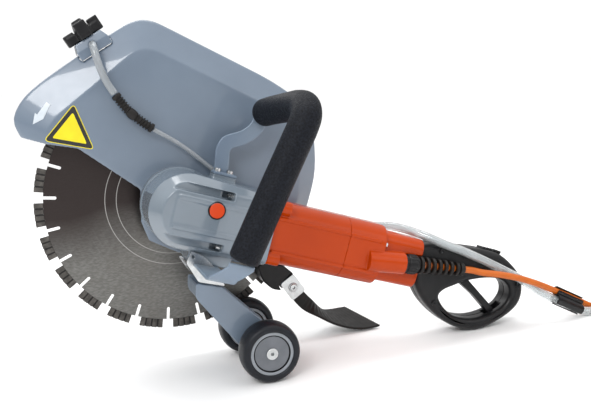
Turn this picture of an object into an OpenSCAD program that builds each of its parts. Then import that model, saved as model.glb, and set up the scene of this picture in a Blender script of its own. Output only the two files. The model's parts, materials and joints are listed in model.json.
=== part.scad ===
// Hand-held electric wet cut-off saw with a 350 mm segmented blade, standing on its two guide
// wheels and its rear handle. +X runs back to the rear handle, +Y to the blade side, +Z up.
// The floor is z = 0 and the origin is the middle of the tool's footprint box.
// Two working frames are used below, both with their zero at the centre of the blade:
//   level    : axes as the whole model
//   machine  : x along the motor axis, tilted down to the rear

/* [Blade] */
// Outside diameter over the segments
blade_d = 350; // [340:2:352]
// Thickness of the steel core
core_t = 2.4; // [2.0:0.1:3.0]
// Thickness of the segments
segment_t = 3.4; // [3.0:0.1:3.8]
// Height of a segment
segment_h = 11.6; // [8:0.2:12]
// Number of segments
segments = 24; // [20:1:26]
// Arc of one segment in degrees
segment_arc = 10.2; // [9.0:0.1:10.8]
// Width of the slots between segments
slot_w = 4; // [3:0.5:5]
// Radius at which the slots end
slot_root_r = 149; // [145:1:155]
// Bore of the blade
bore_d = 25.4; // [25.4:0.1:25.4]

/* [Stance] */
// Height of the spindle above the floor
spindle_z = 216.5; // [216.5:0.5:217]
// Downward tilt of the motor axis to the rear, in degrees
tilt = 19.1; // [18.5:0.1:19.5]
// Distance from the blade plane to the motor axis
motor_off = 86; // [86:1:87]

/* [Motor] */
// Half height of the motor casing
casing_top = 39.6; // [39.4:0.1:40]
// Half width of the motor casing
casing_flat = 38; // [38:0.5:38.5]
// Teeth of the pinion
pinion_teeth = 9; // [9:1:9]
// Teeth of the crown gear
crown_teeth = 41; // [41:1:41]

/* [Grip] */
// Diameter of the foam on the front handle
foam_d = 35.5; // [32:0.5:37]
// Diameter of the steel tube inside the foam
bail_tube_d = 19; // [16:1:22]

/* [Wheels] */
// Diameter of the guide wheels
wheel_d = 75; // [74:1:75]
// Width of a tyre
wheel_w = 33; // [30:1:34]

/* [Cords] */
// Diameter of the mains cable
cable_d = 9; // [9:1:9]
// Outside diameter of the water hose
hose_d = 12; // [12:1:12]

/* [Hidden] */
$fn = 48;

guard_grey = [0.40, 0.47, 0.57];
cast_grey = [0.50, 0.56, 0.63];
orange = [0.86, 0.27, 0.06];
black = [0.07, 0.07, 0.08];
steel = [0.62, 0.63, 0.65];
zinc = [0.80, 0.82, 0.84];
copper = [0.72, 0.40, 0.18];
clear = [0.85, 0.88, 0.88];

e = 0.01;
run_gap = 0.05;                     // radial clearance of a running fit
spindle_x = -141.55;                // places the origin in the middle of the footprint box
spindle_y = 104.875;
core_r = blade_d / 2 - segment_h;
pitch_deg = 360 / segments;
blade_phase = -7;                   // turn of the blade at rest

// ---------------------------------------------------------------- frames
module level() translate([spindle_x, spindle_y, spindle_z]) children();
module machine() level() rotate([0, tilt, 0]) children();
module motor_at() machine() translate([0, -motor_off, 0]) children();

// cylinder along the spindle from y0 to y1, and along the motor axis from s0 to s1
module y_cyl(y0, y1, r, n = 48)
    translate([0, y1, 0]) rotate([90, 0, 0]) cylinder(h = y1 - y0, r = r, $fn = n);
module s_cyl(s0, s1, r, n = 48)
    translate([s0, 0, 0]) rotate([0, 90, 0]) cylinder(h = s1 - s0, r = r, $fn = n);
// plate drawn in the x-z plane, from y0 to y1
module y_plate(y0, y1)
    translate([0, y1, 0]) rotate([90, 0, 0]) linear_extrude(y1 - y0) children();
// section drawn in the y-z plane (x of the sketch runs along +Y), from s0 to s1
module s_bar(s0, s1)
    translate([s0, 0, 0]) rotate([90, 0, 90]) linear_extrude(s1 - s0) children();
module ring(y0, y1, r_in, r_out, n = 64)
    difference() {
        y_cyl(y0, y1, r_out, n);
        y_cyl(y0 - 1, y1 + 1, r_in, n);
    }
// point of the machine frame in the level frame
function to_level(p) = [p[0] * cos(tilt) + p[2] * sin(tilt), p[1],
    -p[0] * sin(tilt) + p[2] * cos(tilt)];

// ---------------------------------------------------------------- curves and sweeps
function unit(v) = v / norm(v);
function catmull(a, b, c, d, t) = 0.5 * (2 * b + (c - a) * t
    + (2 * a - 5 * b + 4 * c - d) * t * t + (3 * b - a - 3 * c + d) * t * t * t);
// smooth open curve through the points, n steps a span
function open_curve(p, n) = [
    for (i = [0 : len(p) - 2], k = [0 : n - 1])
        catmull(p[max(i - 1, 0)], p[i], p[i + 1], p[min(i + 2, len(p) - 1)], k / n),
    p[len(p) - 1]];
// smooth closed curve through the points
function closed_curve(p, n) = [
    for (i = [0 : len(p) - 1], k = [0 : n - 1])
        catmull(p[(i + len(p) - 1) % len(p)], p[i], p[(i + 1) % len(p)],
            p[(i + 2) % len(p)], k / n)];
// outline whose corners are rounded: each corner is [x, y, radius of the tangent stretch]
function rounded(p, n = 6) = [
    for (i = [0 : len(p) - 1])
        let (a = p[(i + len(p) - 1) % len(p)], b = p[i], c = p[(i + 1) % len(p)],
            u = unit([a[0] - b[0], a[1] - b[1]]), v = unit([c[0] - b[0], c[1] - b[1]]),
            m = [b[0], b[1]])
        for (k = [0 : n])
            let (t = k / n)
            (1 - t) * (1 - t) * (m + b[2] * u) + 2 * t * (1 - t) * m + t * t * (m + b[2] * v)];
function tangent(p, i) = unit(p[min(i + 1, len(p) - 1)] - p[max(i - 1, 0)]);
// solid swept along a path: section points lie along w = t x ref and v = w x t
module sweep(path, section, ref) {
    n = len(path);
    m = len(section);
    points = [for (i = [0 : n - 1])
        let (t = tangent(path, i), w = unit(cross(t, ref)), v = cross(w, t))
        for (q = section) path[i] + w * q[0] + v * q[1]];
    sides = [for (i = [0 : n - 2], k = [0 : m - 1])
        [i * m + k, i * m + (k + 1) % m, (i + 1) * m + (k + 1) % m, (i + 1) * m + k]];
    polyhedron(points, concat([[for (k = [m - 1 : -1 : 0]) k]], sides,
        [[for (k = [0 : m - 1]) (n - 1) * m + k]]), convexity = 8);
}
// triangles between n rings of m points each, flipped if back is true
function band(n, m, first = 0, back = false) = [
    for (i = [0 : n - 2], k = [0 : m - 1])
        let (a = first + i * m + k, b = first + i * m + (k + 1) % m, c = b + m, d = a + m)
            each back ? [[c, b, a], [d, c, a]] : [[a, b, c], [a, c, d]]];
function disc(r, sides) = [for (k = [0 : sides - 1])
    [r * cos(k * 360 / sides), r * sin(k * 360 / sides)]];
module tube(path, r, sides, ref) sweep(path, disc(r, sides), ref);
// sleeve along a path, open at both ends
module sleeve(path, r, r_in, m, ref) {
    n = len(path);
    rings = [for (q = [r, r_in], i = [0 : n - 1])
        let (t = tangent(path, i), w = unit(cross(t, ref)), v = cross(w, t))
            for (c = disc(q, m)) path[i] + w * c[0] + v * c[1]];
    ends = [for (k = [0 : m - 1], end = [0, n - 1])
        let (a = end * m + k, b = end * m + (k + 1) % m, c = b + n * m, d = a + n * m)
            each end == 0 ? [[c, b, a], [d, c, a]] : [[a, b, c], [a, c, d]]];
    polyhedron(rings, concat(band(n, m), band(n, m, n * m, true), ends), convexity = 8);
}

// ---------------------------------------------------------------- gearbox
gear_y0 = -136;
gear_y1 = -45;
gear_r = 46.5;
gear_back = 107;
cover_r = 40;           // radius of the circle of the cover screws
lock_s = 29;
lock_h = 11.5;
bolt_h = [31, -33];     // heights of the long casing bolts
bolt_y = [-34, 31];     // and their places beside the motor axis

module gearbox_outer() {
    hull() {
        y_cyl(gear_y0 + 22, gear_y1, gear_r, 64);
        y_cyl(gear_y0, gear_y1, gear_r - 13, 64);
        translate([gear_back - 2, -motor_off, -2.5]) s_cyl(0, 2, 41, 64);
        for (z = bolt_h, y = bolt_y)
            translate([gear_back - 2, -motor_off + y, z]) s_cyl(0, 2, 10, 24);
    }
    // shoulder against the guard
    y_cyl(gear_y1 - 5, gear_y1, gear_r + 1.5, 64);
    // seat of the front handle plate, on top
    translate([30, -72, 38]) cube([30, 22, 12]);
    // pad for the strap and the wheel bracket, underneath
    translate([14, -114, -58]) cube([54, 52, 20]);
}
module gearbox_housing() color(cast_grey) machine() difference() {
    gearbox_outer();
    // gear chamber and near bearing pocket
    y_cyl(-112, gear_y1 + e, 41, 64);
    y_cyl(-124, -111, 16, 64);
    // spindle lock bore through the near wall
    translate([lock_s, 0, lock_h]) y_cyl(gear_y0 - 1, -111, 4 + run_gap);
    translate([lock_s, 0, lock_h]) y_cyl(gear_y0 - 1, gear_y0 + 6, 10);
    // motor bore, front bearing seat and fan space
    translate([0, -motor_off, 0]) s_cyl(20, 85, 14);
    translate([0, -motor_off, 0]) s_cyl(84, 96, 16);
    translate([0, -motor_off, 0]) s_cyl(96, gear_back + 1, 36.6, 64);
    // two long grooves with the casing bolts at their ends
    for (z = bolt_h)
        translate([-24, gear_y0 - 7, z - 4.8]) rotate([0, 0, 5]) cube([73, 14, 9.6]);
    for (z = bolt_h, y = bolt_y) translate([0, -motor_off + y, z]) {
        s_cyl(48, gear_back + 1, 2.6);
        s_cyl(34, 48.01, 5);
    }
    // flat that clears the wheel bracket
    translate([-20, -140, -70]) cube([60, 26, 25.5]);
    // cover screw holes
    for (a = [45 : 90 : 315])
        rotate([0, a, 0]) translate([cover_r + 3.7, 0, 0]) y_cyl(gear_y1 - 18, gear_y1 + 1, 1.6);
    // screw holes of the handle plate, the strap and the bracket
    for (x = [36, 52]) translate([x, -61.6, 38]) cylinder(h = 20, r = 2.6);
    for (x = [26, 48], y = [-108, -68]) translate([x, y, -60]) cylinder(h = 14, r = 2.6);
}
module gearbox_cover() color(steel) machine() difference() {
    union() {
        ring(gear_y1, -37, 10.6, gear_r + 0.5);
        ring(-58, gear_y1, 23.5, 40.9);
        ring(-37, -24, 14, 30);
    }
    y_cyl(-52, -38, 23.5);
    for (a = [45 : 90 : 315])
        rotate([0, a, 0]) translate([cover_r + 3.7, 0, 0]) {
            y_cyl(-46, -36, 1.6);
            y_cyl(-39, -36, 2.7);
        }
}
module casing_screws() color(zinc) {
    machine() for (a = [45 : 90 : 315])
        rotate([0, a, 0]) translate([cover_r + 3.7, 0, 0]) {
            y_cyl(gear_y1 - 16, -38, 1.5);
            difference() {
                y_cyl(-39, -37.2, 2.6);
                y_cyl(-38, -35, 1.2, 6);
            }
        }
    motor_at() for (z = bolt_h, y = bolt_y) translate([0, y, z]) {
        s_cyl(48, 120, 2.5);
        difference() {
            s_cyl(42, 48, 4.4);
            s_cyl(41, 45, 2, 6);
        }
    }
    motor_at() for (p = [[-32, 14], [32, 14], [32, -19]]) translate([0, p[0], p[1]]) difference() {
        s_cyl(cap_s, cap_s + 3, 3.4);
        s_cyl(cap_s + 1.5, cap_s + 4, 1.6, 6);
    }
    level() for (p = handle_fixings) translate([p[0], 0, p[1]]) {
        y_cyl(-motor_off - handle_half, -motor_off + 14, 2);
        difference() {
            y_cyl(-motor_off - handle_half - 2, -motor_off - handle_half, 3.4);
            y_cyl(-motor_off - handle_half - 3, -motor_off - handle_half - 1, 1.6, 6);
        }
    }
}

// ---------------------------------------------------------------- motor casings
casing_h = -2.5;        // the casing sits a little below the motor axis
joint_s = 210;
cap_s = 262;
neck_s = 322;
casing_corner = 26;
module casing_section() {
    x = casing_flat - casing_corner;
    y = casing_top - casing_corner;
    square([2 * casing_flat, 2 * y], center = true);
    square([2 * x, 2 * casing_top], center = true);
    for (i = [-x, x], j = [-y, y]) translate([i, j]) circle(r = casing_corner, $fn = 96);
}
module casing_rails(s0, s1)
    for (z = [20, -22])
        translate([s0, -casing_flat - 1.2, z - 2]) cube([s1 - s0, 3, 4]);
module motor_housing() color(orange) motor_at() difference() {
    union() {
        translate([0, 0, casing_h]) s_bar(gear_back, joint_s) casing_section();
        translate([0, 0, casing_h]) casing_rails(gear_back + 4, joint_s);
        // ears for the long bolts
        for (z = bolt_h, y = bolt_y) translate([0, y, z]) s_cyl(gear_back, 124, 8.5);
    }
    s_cyl(gear_back - 1, joint_s + 1, 36.6, 64);
    for (z = bolt_h, y = bolt_y) translate([0, y, z]) s_cyl(gear_back - 1, 120, 2.6);
}
module neck_section(h) hull() {
    for (x = [-14, 14], y = [-h + 14, h - 14]) translate([x, y]) circle(r = 14);
}
// frame of the cable boss: x out of the boss, beside the motor axis and turned up a little
gland_at = [259, -33, -8.3];
gland_lift = -6;
module boss_frame() translate(gland_at) rotate([0, gland_lift, 0]) children();
module gland_frame() motor_at() boss_frame() children();
module rear_housing() color(orange) motor_at() difference() {
    union() {
        translate([0, 0, casing_h]) s_bar(joint_s, cap_s) casing_section();
        translate([0, 0, casing_h]) casing_rails(joint_s, cap_s - 8);
        translate([0, 0, casing_h - 0.5]) s_bar(cap_s, neck_s) neck_section(33);
        boss_frame() s_cyl(-17, 35, 14.5);
    }
    // brush chamber, bearing seat and wiring duct
    s_cyl(joint_s - 1, 246, 36.6, 64);
    s_cyl(245, 257, 13);
    translate([290, 0, -2]) cube([66, 34, 44], center = true);
    // cable bore, and the scoop that clears the gland nut
    boss_frame() s_cyl(6, 36, 9);
    boss_frame() s_cyl(35, 70, 13.2);
    // cooling slots behind the step, on top and below
    for (k = [0 : 4], z = [18, -46])
        translate([272, -15.5 + 7 * k, z]) cube([16, 3, 22]);
}
// ---------------------------------------------------------------- motor internals
module stator_core() color(steel) motor_at() difference() {
    s_cyl(128, 192, 36.6, 64);
    s_cyl(127, 193, 27.6, 64);
    for (a = [0, 180]) rotate([a, 0, 0]) translate([127, -12, 26]) cube([66, 24, 5.5]);
}
module field_windings() color(copper) motor_at()
    for (a = [0, 180], s = [119.5, 192])
        rotate([a, 0, 0]) difference() {
            s_cyl(s, s + 8, 35, 64);
            s_cyl(s - 1, s + 9, 28.5, 64);
            translate([s - 1, -40, -40]) cube([10, 80, 52]);
        }
module brush_holders() color(black) motor_at()
    for (a = [0, 180]) rotate([90 + a, 0, 0]) difference() {
        translate([218, -7, 20]) cube([16, 14, 15.6]);
        translate([221, -4, 19]) cube([10, 8, 18]);
    }
module carbon_brushes() color([0.15, 0.15, 0.16]) motor_at()
    for (a = [0, 180]) rotate([90 + a, 0, 0])
        translate([221.1, -3.9, 17.4]) cube([9.8, 7.8, 14]);
module bearing(s0, s1, r_in, r_out) difference() {
    s_cyl(s0, s1, r_out);
    s_cyl(s0 - 1, s1 + 1, r_in);
    for (s = [s0 - 1, s1 - 0.8]) difference() {
        s_cyl(s, s + 1.8, r_out - 2);
        s_cyl(s - 1, s + 3, r_in + 2);
    }
}
module ball_bearings() color(steel) {
    motor_at() bearing(84, 96, 6 + run_gap, 16);
    motor_at() bearing(246, 257, 5 + run_gap, 13);
    machine() rotate([0, 0, 90]) bearing(-52, -38, 10 + run_gap, 23.5);
    machine() rotate([0, 0, 90]) bearing(-124, -113, 6 + run_gap, 16);
}

// ---------------------------------------------------------------- rotor
module armature_shaft() color(steel) motor_at() {
    s_cyl(24, 98, 6);
    s_cyl(98, 240, 7);
    s_cyl(240, 256, 5);
}
module armature_core() color([0.35, 0.33, 0.32]) motor_at() difference() {
    s_cyl(128, 192, 27, 64);
    s_cyl(127, 193, 7);
    for (a = [0 : 30 : 330]) rotate([a, 0, 0]) translate([127, -1.2, 22]) cube([66, 2.4, 6]);
}
module commutator() color(copper) motor_at() difference() {
    s_cyl(214, 238, 17);
    s_cyl(213, 239, 7);
    for (a = [0 : 30 : 330]) rotate([a, 0, 0]) translate([213, -0.4, 15]) cube([26, 0.8, 3]);
}
module cooling_fan() color(black) motor_at() difference() {
    union() {
        s_cyl(101, 103, 35.4);
        s_cyl(103, 113, 10);
        for (a = [0 : 24 : 336]) rotate([a, 0, 0]) translate([102, -0.8, 9]) cube([10, 1.6, 25.4]);
    }
    s_cyl(100, 114, 7);
}

// Bevel pair: both gears taper to the crossing of the two axes.
module pinion() color(steel) motor_at() difference() {
    translate([26, 0, 0]) rotate([0, 90, 0])
        linear_extrude(height = 12, scale = 38 / 26)
            scale(26 / 38) union() {
                circle(r = 6.9, $fn = 36);
                for (a = [0 : pinion_teeth - 1])
                    rotate(a * 360 / pinion_teeth)
                        polygon([[6, -1.2], [8.8, -0.4], [8.8, 0.4], [6, 1.2]]);
            }
    s_cyl(25, 39, 6);
}
module crown_gear() color(steel) machine() difference() {
    union() {
        ring(-77, -62, 9, 40, 82);
        for (k = [0 : crown_teeth - 1])
            rotate([0, k * 360 / crown_teeth, 0])
                y_plate(-78.2, -76.9) polygon([[25, -0.5], [39.5, -0.75], [39.5, 0.75],
                    [25, 0.5]]);
    }
    // recess that leaves a rim and a hub
    difference() {
        y_cyl(-68, -61, 33, 64);
        y_cyl(-69, -60, 16, 64);
    }
}

// ---------------------------------------------------------------- spindle and blade
module spindle() color(steel) machine() difference() {
    union() {
        y_cyl(-123, -112, 6);
        y_cyl(-112, -56, 9);
        y_cyl(-56, -34, 10);
        y_cyl(-34, 6, 8);
    }
    y_cyl(-20, 7, 5);
}
module inner_flange() color(steel) machine() difference() {
    union() {
        y_cyl(-8, -core_t / 2, 35, 64);
        y_cyl(-20, -8, 15);
        y_cyl(-core_t / 2 - e, core_t / 2 - 0.4, bore_d / 2 - 0.05);
    }
    y_cyl(-21, 3, 8);
    difference() {
        y_cyl(-core_t / 2 - 0.8, 0, 27, 64);
        y_cyl(-3, 1, 17, 64);
    }
}
module outer_flange() color(steel) machine() difference() {
    union() {
        y_cyl(core_t / 2, 8, 35, 64);
        y_cyl(8, 10, 22, 64);
    }
    y_cyl(0, 6, 8.02);
    y_cyl(5, 11, 5.2);
    difference() {
        y_cyl(0, core_t / 2 + 0.8, 27, 64);
        y_cyl(-1, 3, 17, 64);
    }
}
module clamp_bolt() color(zinc) machine() {
    y_cyl(-18, 10, 5);
    ring(10, 12, 5, 12);
    difference() {
        y_cyl(12, 19, 9.6, 6);
        y_cyl(16, 20, 4);
    }
}
module blade_core() color([0.45, 0.43, 0.41]) level() rotate([-90, 0, 0])
    rotate([0, 0, -blade_phase]) difference() {
        cylinder(h = core_t, r = core_r, center = true, $fn = 144);
        cylinder(h = 9, r = bore_d / 2, center = true, $fn = 64);
        for (k = [0 : segments - 1]) rotate(k * pitch_deg) {
            translate([slot_root_r, 0, 0]) cylinder(h = 9, r = slot_w / 2, center = true, $fn = 24);
            translate([slot_root_r, -slot_w / 2, -4]) cube([40, slot_w, 8]);
        }
    }
block_arc = segment_arc * 0.19;
// piece of a ring from radius r0 to r1, a degrees wide, t thick
module sector(r0, r1, a, t) linear_extrude(t, center = true) intersection() {
    difference() {
        circle(r = r1, $fn = 144);
        circle(r = r0, $fn = 144);
    }
    polygon([[0, 0], [2 * r1, 0], [2 * r1 * cos(a), 2 * r1 * sin(a)]]);
}
module blade_segments() color([0.30, 0.29, 0.28]) level() rotate([-90, 0, 0])
    rotate([0, 0, -blade_phase])
        for (k = [0 : segments - 1]) rotate((k + 0.5) * pitch_deg - segment_arc / 2) {
            sector(core_r, core_r + segment_h - 0.4, segment_arc, core_t);
            for (b = [0 : 3]) rotate(0.1 + b * (segment_arc - block_arc - 0.2) / 3)
                sector(core_r + 0.3, core_r + segment_h, block_arc, segment_t);
        }

// ---------------------------------------------------------------- guard
guard_near = -32;       // near face of the guard
guard_rim = -13;        // where the bevel meets the rim
guard_far = 25;         // far edge
guard_wall = 2.6;
// rim outline and the smaller outline of the flat near face, in the machine frame
rim_line = [[-180, 10, 2], [-200, 33, 10], [-217, 50, 14], [-212, 80, 16], [-193, 108, 12],
    [-171, 135, 10], [-124, 190, 14], [-104, 211, 12], [-84, 218, 12], [-60, 214, 10],
    [86, 187, 20], [140, 170, 18], [168, 132, 20], [184, 80, 20], [184, 30, 20],
    [171, -84, 4], [167, -120, 2], [-40, -120, 2]];
face_line = [[-160, 10, 2], [-164, 36, 2], [-176, 48, 8], [-168, 70, 10], [-122, 132, 12],
    [-94, 176, 12], [-72, 181, 8], [74, 155, 16], [124, 142, 16], [150, 96, 16], [160, 40, 16],
    [148, -72, 4], [146, -116, 2], [-40, -116, 2]];
module guard_bulk(shrink, y_shift) {
    inset = 1 - shrink / 150;
    hull() {
        y_plate(guard_near + y_shift, guard_near + y_shift + 0.5)
            scale([inset, inset]) polygon(rounded(face_line, 3));
        y_plate(guard_rim, guard_far + 4 * y_shift)
            scale([inset, inset]) polygon(rounded(rim_line, 3));
    }
}
// what lies under the lower edge is open to the work
under_edge = [[-260, 34], [-175, 34], [-134, 38], [-49, 6], [-42, -16], [-38, -34], [-22, -56],
    [20, -64], [130, -60], [175, -92], [175, -260], [-260, -260]];
module guard_shell() color(guard_grey) machine() difference() {
    union() {
        difference() {
            guard_bulk(0, 0);
            guard_bulk(guard_wall, guard_wall);
        }
        // collar that turns on the gearbox cover
        ring(-36.5, -27, 31, 44);
    }
    y_plate(-60, 60) polygon(under_edge);
    y_cyl(-60, 0, 30 + run_gap);
    // mouth that leaves the flange and its bolt free on the far side
    y_cyl(guard_far - 12, guard_far + 12, 62, 64);
    translate([-62, guard_far - 12, -200]) cube([124, 24, 200]);
    for (a = [60, 180, 300])
        rotate([0, a, 0]) translate([37, 0, 0]) y_cyl(-60, 0, 2.1);
    // window in the slanted edge, filled by the nozzle block
    nozzle_local() translate([-22, -22, -7]) cube([44, 36, 40]);
}
module guard_clamp_ring() color(steel) machine() difference() {
    ring(-27, -24, 30 + run_gap, 44);
    for (a = [60, 180, 300])
        rotate([0, a, 0]) translate([37, 0, 0]) y_cyl(-60, 0, 2.1);
}
// frame on the slanted front edge: x along the edge, z out of it
nozzle_at = [-143, 0, 165];
edge_angle = -48;
module nozzle_local() translate(nozzle_at) rotate([0, edge_angle, 0]) children();
module nozzle_block() color(guard_grey) machine() nozzle_local() difference() {
    union() {
        translate([-22, -22, -7]) cube([44, 36, 10]);
        hull() {
            translate([-22, -22, 3]) cube([44, 36, 0.5]);
            translate([-18, -19, 13]) cube([36, 33, 0.5]);
        }
    }
    translate([0, -2, -8]) cylinder(h = 30, r = 4 + run_gap);
    translate([0, 0, 3]) rotate([90, 0, 0]) cylinder(h = 30, r = 4.75);
}
module nozzle_knob() color(black) machine() nozzle_local() translate([0, -2, 0]) {
    translate([0, 0, 9.2]) cylinder(h = 6, r = 4);
    translate([-23, -8, 14]) cube([46, 16, 11]);
    translate([-9, -17, 14]) cube([18, 26, 14]);
    hull() {
        translate([-9, -15, 28]) cube([18, 22, 0.5]);
        translate([-6, -11, 38]) cube([12, 14, 0.5]);
    }
}
hose_y = -44;
hose_path = open_curve([[-145.2, -22.2, 167], [-145.5, -30, 166.5], [-143, -39, 160],
    [-134, hose_y, 144], [-121, hose_y, 127], [-108, hose_y, 115.2]], 4);
coupler_path = open_curve([[-107, hose_y, 114], [-88, hose_y, 100], [-72, hose_y, 92],
    [-53, hose_y, 85]], 4);
guard_tube_path = open_curve([[-52, hose_y, 84.6], [-20, hose_y, 76], [6, hose_y, 66],
    [22, hose_y, 58.5], [31, hose_y - 1, 54.5], [35, -45.7, 50.5], [35.2, -45.9, 47.2]], 4);
module guard_hose() color(clear) machine() tube(hose_path, 4.7, 12, [1, 0, 0]);
module hose_coupler() color(black) machine() tube(coupler_path, 6.3, 12, [0, 1, 0]);
module guard_tube() color(clear) machine() tube(guard_tube_path, 2.9, 10, [0, 0, 1]);
holder_line = rounded([[128, -60, 3], [134, -54, 3], [162, -51, 4], [186, -62, 4], [177, -85, 6],
    [157, -87, 6], [140, -78, 6]], 3);
module flap_holder() color(black) difference() {
    machine() y_plate(-36, 20) polygon(holder_line);
    // it wraps the corner of the guard
    machine() y_plate(guard_near - 0.3, guard_far)
        polygon([[90, 40], [90, -63.2], [130.1, -61], [171.8, -91], [186, 40]]);
    // slot for the blade
    machine() y_plate(-6, 6)
        polygon([[100, -40], [181, -40], [181, -77], [140, -96], [100, -120]]);
    // seat of the flap and its clamp plate
    level() y_plate(-40, -24.2) polygon([[129, -129], [152, -111], [190, -150], [150, -180]]);
}
// rubber flap: hangs from the clamp plate, twists and spreads out flat on the floor
flap_near = open_curve([[135, -26, -127], [143, -26, -142], [152, -26, -157], [165, -27.5, -172],
    [185, -30, -184], [206, -31, -197], [231, -31, -208], [254, -31, -212.6],
    [278, -29, -212.6]], 3);
flap_far = open_curve([[151, -26, -118], [159, -26, -132], [168, -26, -147], [180, -20, -161],
    [191, -10, -175], [202, 2, -185], [216, 12, -190], [230, 18, -192], [244, 21, -193]], 3);
flap_t = 3.4;
module flap() color(black) level() {
    n = len(flap_near);
    points = [for (i = [0 : n - 1])
        let (w = unit(flap_far[i] - flap_near[i]), v = flap_t / 2 * unit(cross(tangent(flap_near, i)
            + tangent(flap_far, i), w)))
        for (q = [flap_near[i] - v, flap_far[i] - v, flap_far[i] + v, flap_near[i] + v]) q];
    polyhedron(points, concat([[2, 1, 0], [3, 2, 0]], band(n, 4),
        [[4 * n - 4, 4 * n - 3, 4 * n - 2], [4 * n - 4, 4 * n - 2, 4 * n - 1]]), convexity = 8);
}
module flap_clamp() color(zinc) level() translate([150.5, -28, -136]) rotate([0, 58, 0]) {
    difference() {
        translate([-13, -2.6, -9]) cube([26, 2.6, 18]);
        rotate([90, 0, 0]) cylinder(h = 12, r = 3, center = true);
    }
    difference() {
        rotate([90, 0, 0]) cylinder(h = 3.4, r = 6);
        translate([0, -1, 0]) rotate([90, 0, 0]) cylinder(h = 3, r = 2.4, $fn = 6);
    }
}

// ---------------------------------------------------------------- front handle
bail_y = -55;
plate_line = open_curve([[42, 53.4], [40, 68], [38, 80], [41, 91], [50, 97], [60, 103], [69, 112],
    [75, 124], [77, 150]], 4);
function flat_tangent(p, i) = let (d = p[min(i + 1, len(p) - 1)] - p[max(i - 1, 0)]) d / norm(d);
function ribbon(p, w) = concat(
    [for (i = [0 : len(p) - 1]) p[i] + w / 2 * [-flat_tangent(p, i)[1], flat_tangent(p, i)[0]]],
    [for (i = [len(p) - 1 : -1 : 0]) p[i] - w / 2 * [-flat_tangent(p, i)[1], flat_tangent(p, i)[0]]]);
module bail_plate() color(guard_grey) machine() difference() {
    union() {
        y_plate(bail_y - 2, bail_y + 2) polygon(ribbon(plate_line, 18.5));
        translate([30, -72, 50]) cube([30, 19, 3.5]);
    }
    for (x = [36, 52]) translate([x, -61.6, 49]) cylinder(h = 20, r = 2.6);
    translate([76.5, 0, 140]) y_cyl(-60, -50, 4.1);
}
grip_top = [77, bail_y - 5, 140];
grip_path = concat([grip_top, [78.5, -85, 144], [81, -130, 149.5]],
    open_curve([[83, -170, 154], [83.5, -195, 153], [82, -212, 142], [79, -217, 126]], 5),
    [[66, -217, 55], [52, -215, -30]]);
module bail_tube() color(steel) machine() tube(grip_path, bail_tube_d / 2, 20, [1, 0, 0]);
module foam_grip() color(black) machine()
    sleeve(grip_path, foam_d / 2, bail_tube_d / 2 + 0.05, 20, [1, 0, 0]);
strap_r = 24;           // inner radius of the strap's bend
strap_t = 3.6;
strap_low = -58;        // top of its flat stretch
strap_y = -215;         // middle of its upright end
module strap_side() {
    bend = [strap_y + strap_t / 2 + strap_r, strap_low + strap_r];
    translate([strap_y - strap_t / 2, bend[1]]) square([strap_t, -33.4 - bend[1]]);
    intersection() {
        translate(bend) difference() {
            circle(r = strap_r + strap_t, $fn = 96);
            circle(r = strap_r, $fn = 96);
        }
        translate([bend[0] - 60, bend[1] - 60]) square([60, 60]);
    }
    translate([bend[0], strap_low - strap_t]) square([-63 - bend[0], strap_t]);
}
module bail_strap() color(guard_grey) difference() {
    machine() intersection() {
        s_bar(10, 80) strap_side();
        y_plate(-230, 0) polygon([[22, -70], [22, -54], [37, -38], [37, -20], [67, -20],
            [67, -38], [54, -54], [54, -70]]);
    }
    // slot for the tab of the wheel bracket
    level() y_plate(arm_near - 2.8, arm_near + 0.3) polygon([for (p = bracket_near)
        1.03 * [p[0], p[1]]]);
    machine() for (x = [26, 48], y = [-108, -68]) translate([x, y, -70]) cylinder(h = 30, r = 2.6);
}
module bail_bolts() color(zinc) machine() {
    for (x = [36, 52]) translate([x, -61.6, 0]) {
        translate([0, 0, 40]) cylinder(h = 13.5, r = 2.5);
        difference() {
            translate([0, 0, 53.5]) cylinder(h = 4, r = 4.2);
            translate([0, 0, 55.5]) cylinder(h = 3, r = 2, $fn = 6);
        }
    }
    translate([76.5, 0, 140]) y_cyl(bail_y + 2, bail_y + 6, 7);
    translate([76.5, 0, 140]) y_cyl(bail_y - 2, bail_y + 2, 4);
    // screws of the strap and the bracket, from below
    for (x = [26, 48], y = [-108, -68]) translate([x, y, 0]) {
        translate([0, 0, -64.1]) cylinder(h = 18, r = 2.5);
        translate([0, 0, -68.1]) cylinder(h = 4, r = 4.2);
    }
}

// ---------------------------------------------------------------- wheels and their arm
axle = [81, -179];          // in the level frame
arm_near = -118;
arm_far = -63;
arm_wall = 3;
arm_line = [[2, -88, 3], [34, -97, 3], [98.5, -166, 14], [94, -198, 14], [66, -197, 14],
    [0, -106, 6]];
module wheel_arm() color(guard_grey) level() difference() {
    union() {
        y_plate(arm_near, arm_near + arm_wall) polygon(rounded(arm_line, 4));
        y_plate(arm_far - arm_wall, arm_far) polygon(rounded(arm_line, 4));
        // front web that joins the two walls
        y_plate(arm_near + arm_wall, arm_far - arm_wall)
            polygon([[2, -91], [5, -91], [4, -104], [66, -190], [63.5, -191.5], [0.8, -105]]);
    }
    translate([axle[0], 0, axle[1]]) y_cyl(-200, 0, 6);
}
bracket_near = [[-8, -60, 3], [0, -46.5, 3], [15, -56, 3], [30, -76, 3], [37, -95.5, 2], [5, -86, 3]];
bracket_far = [[-8, -63, 3], [8, -68, 3], [30, -76, 3], [37, -95.5, 2], [5, -86, 3]];
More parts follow.
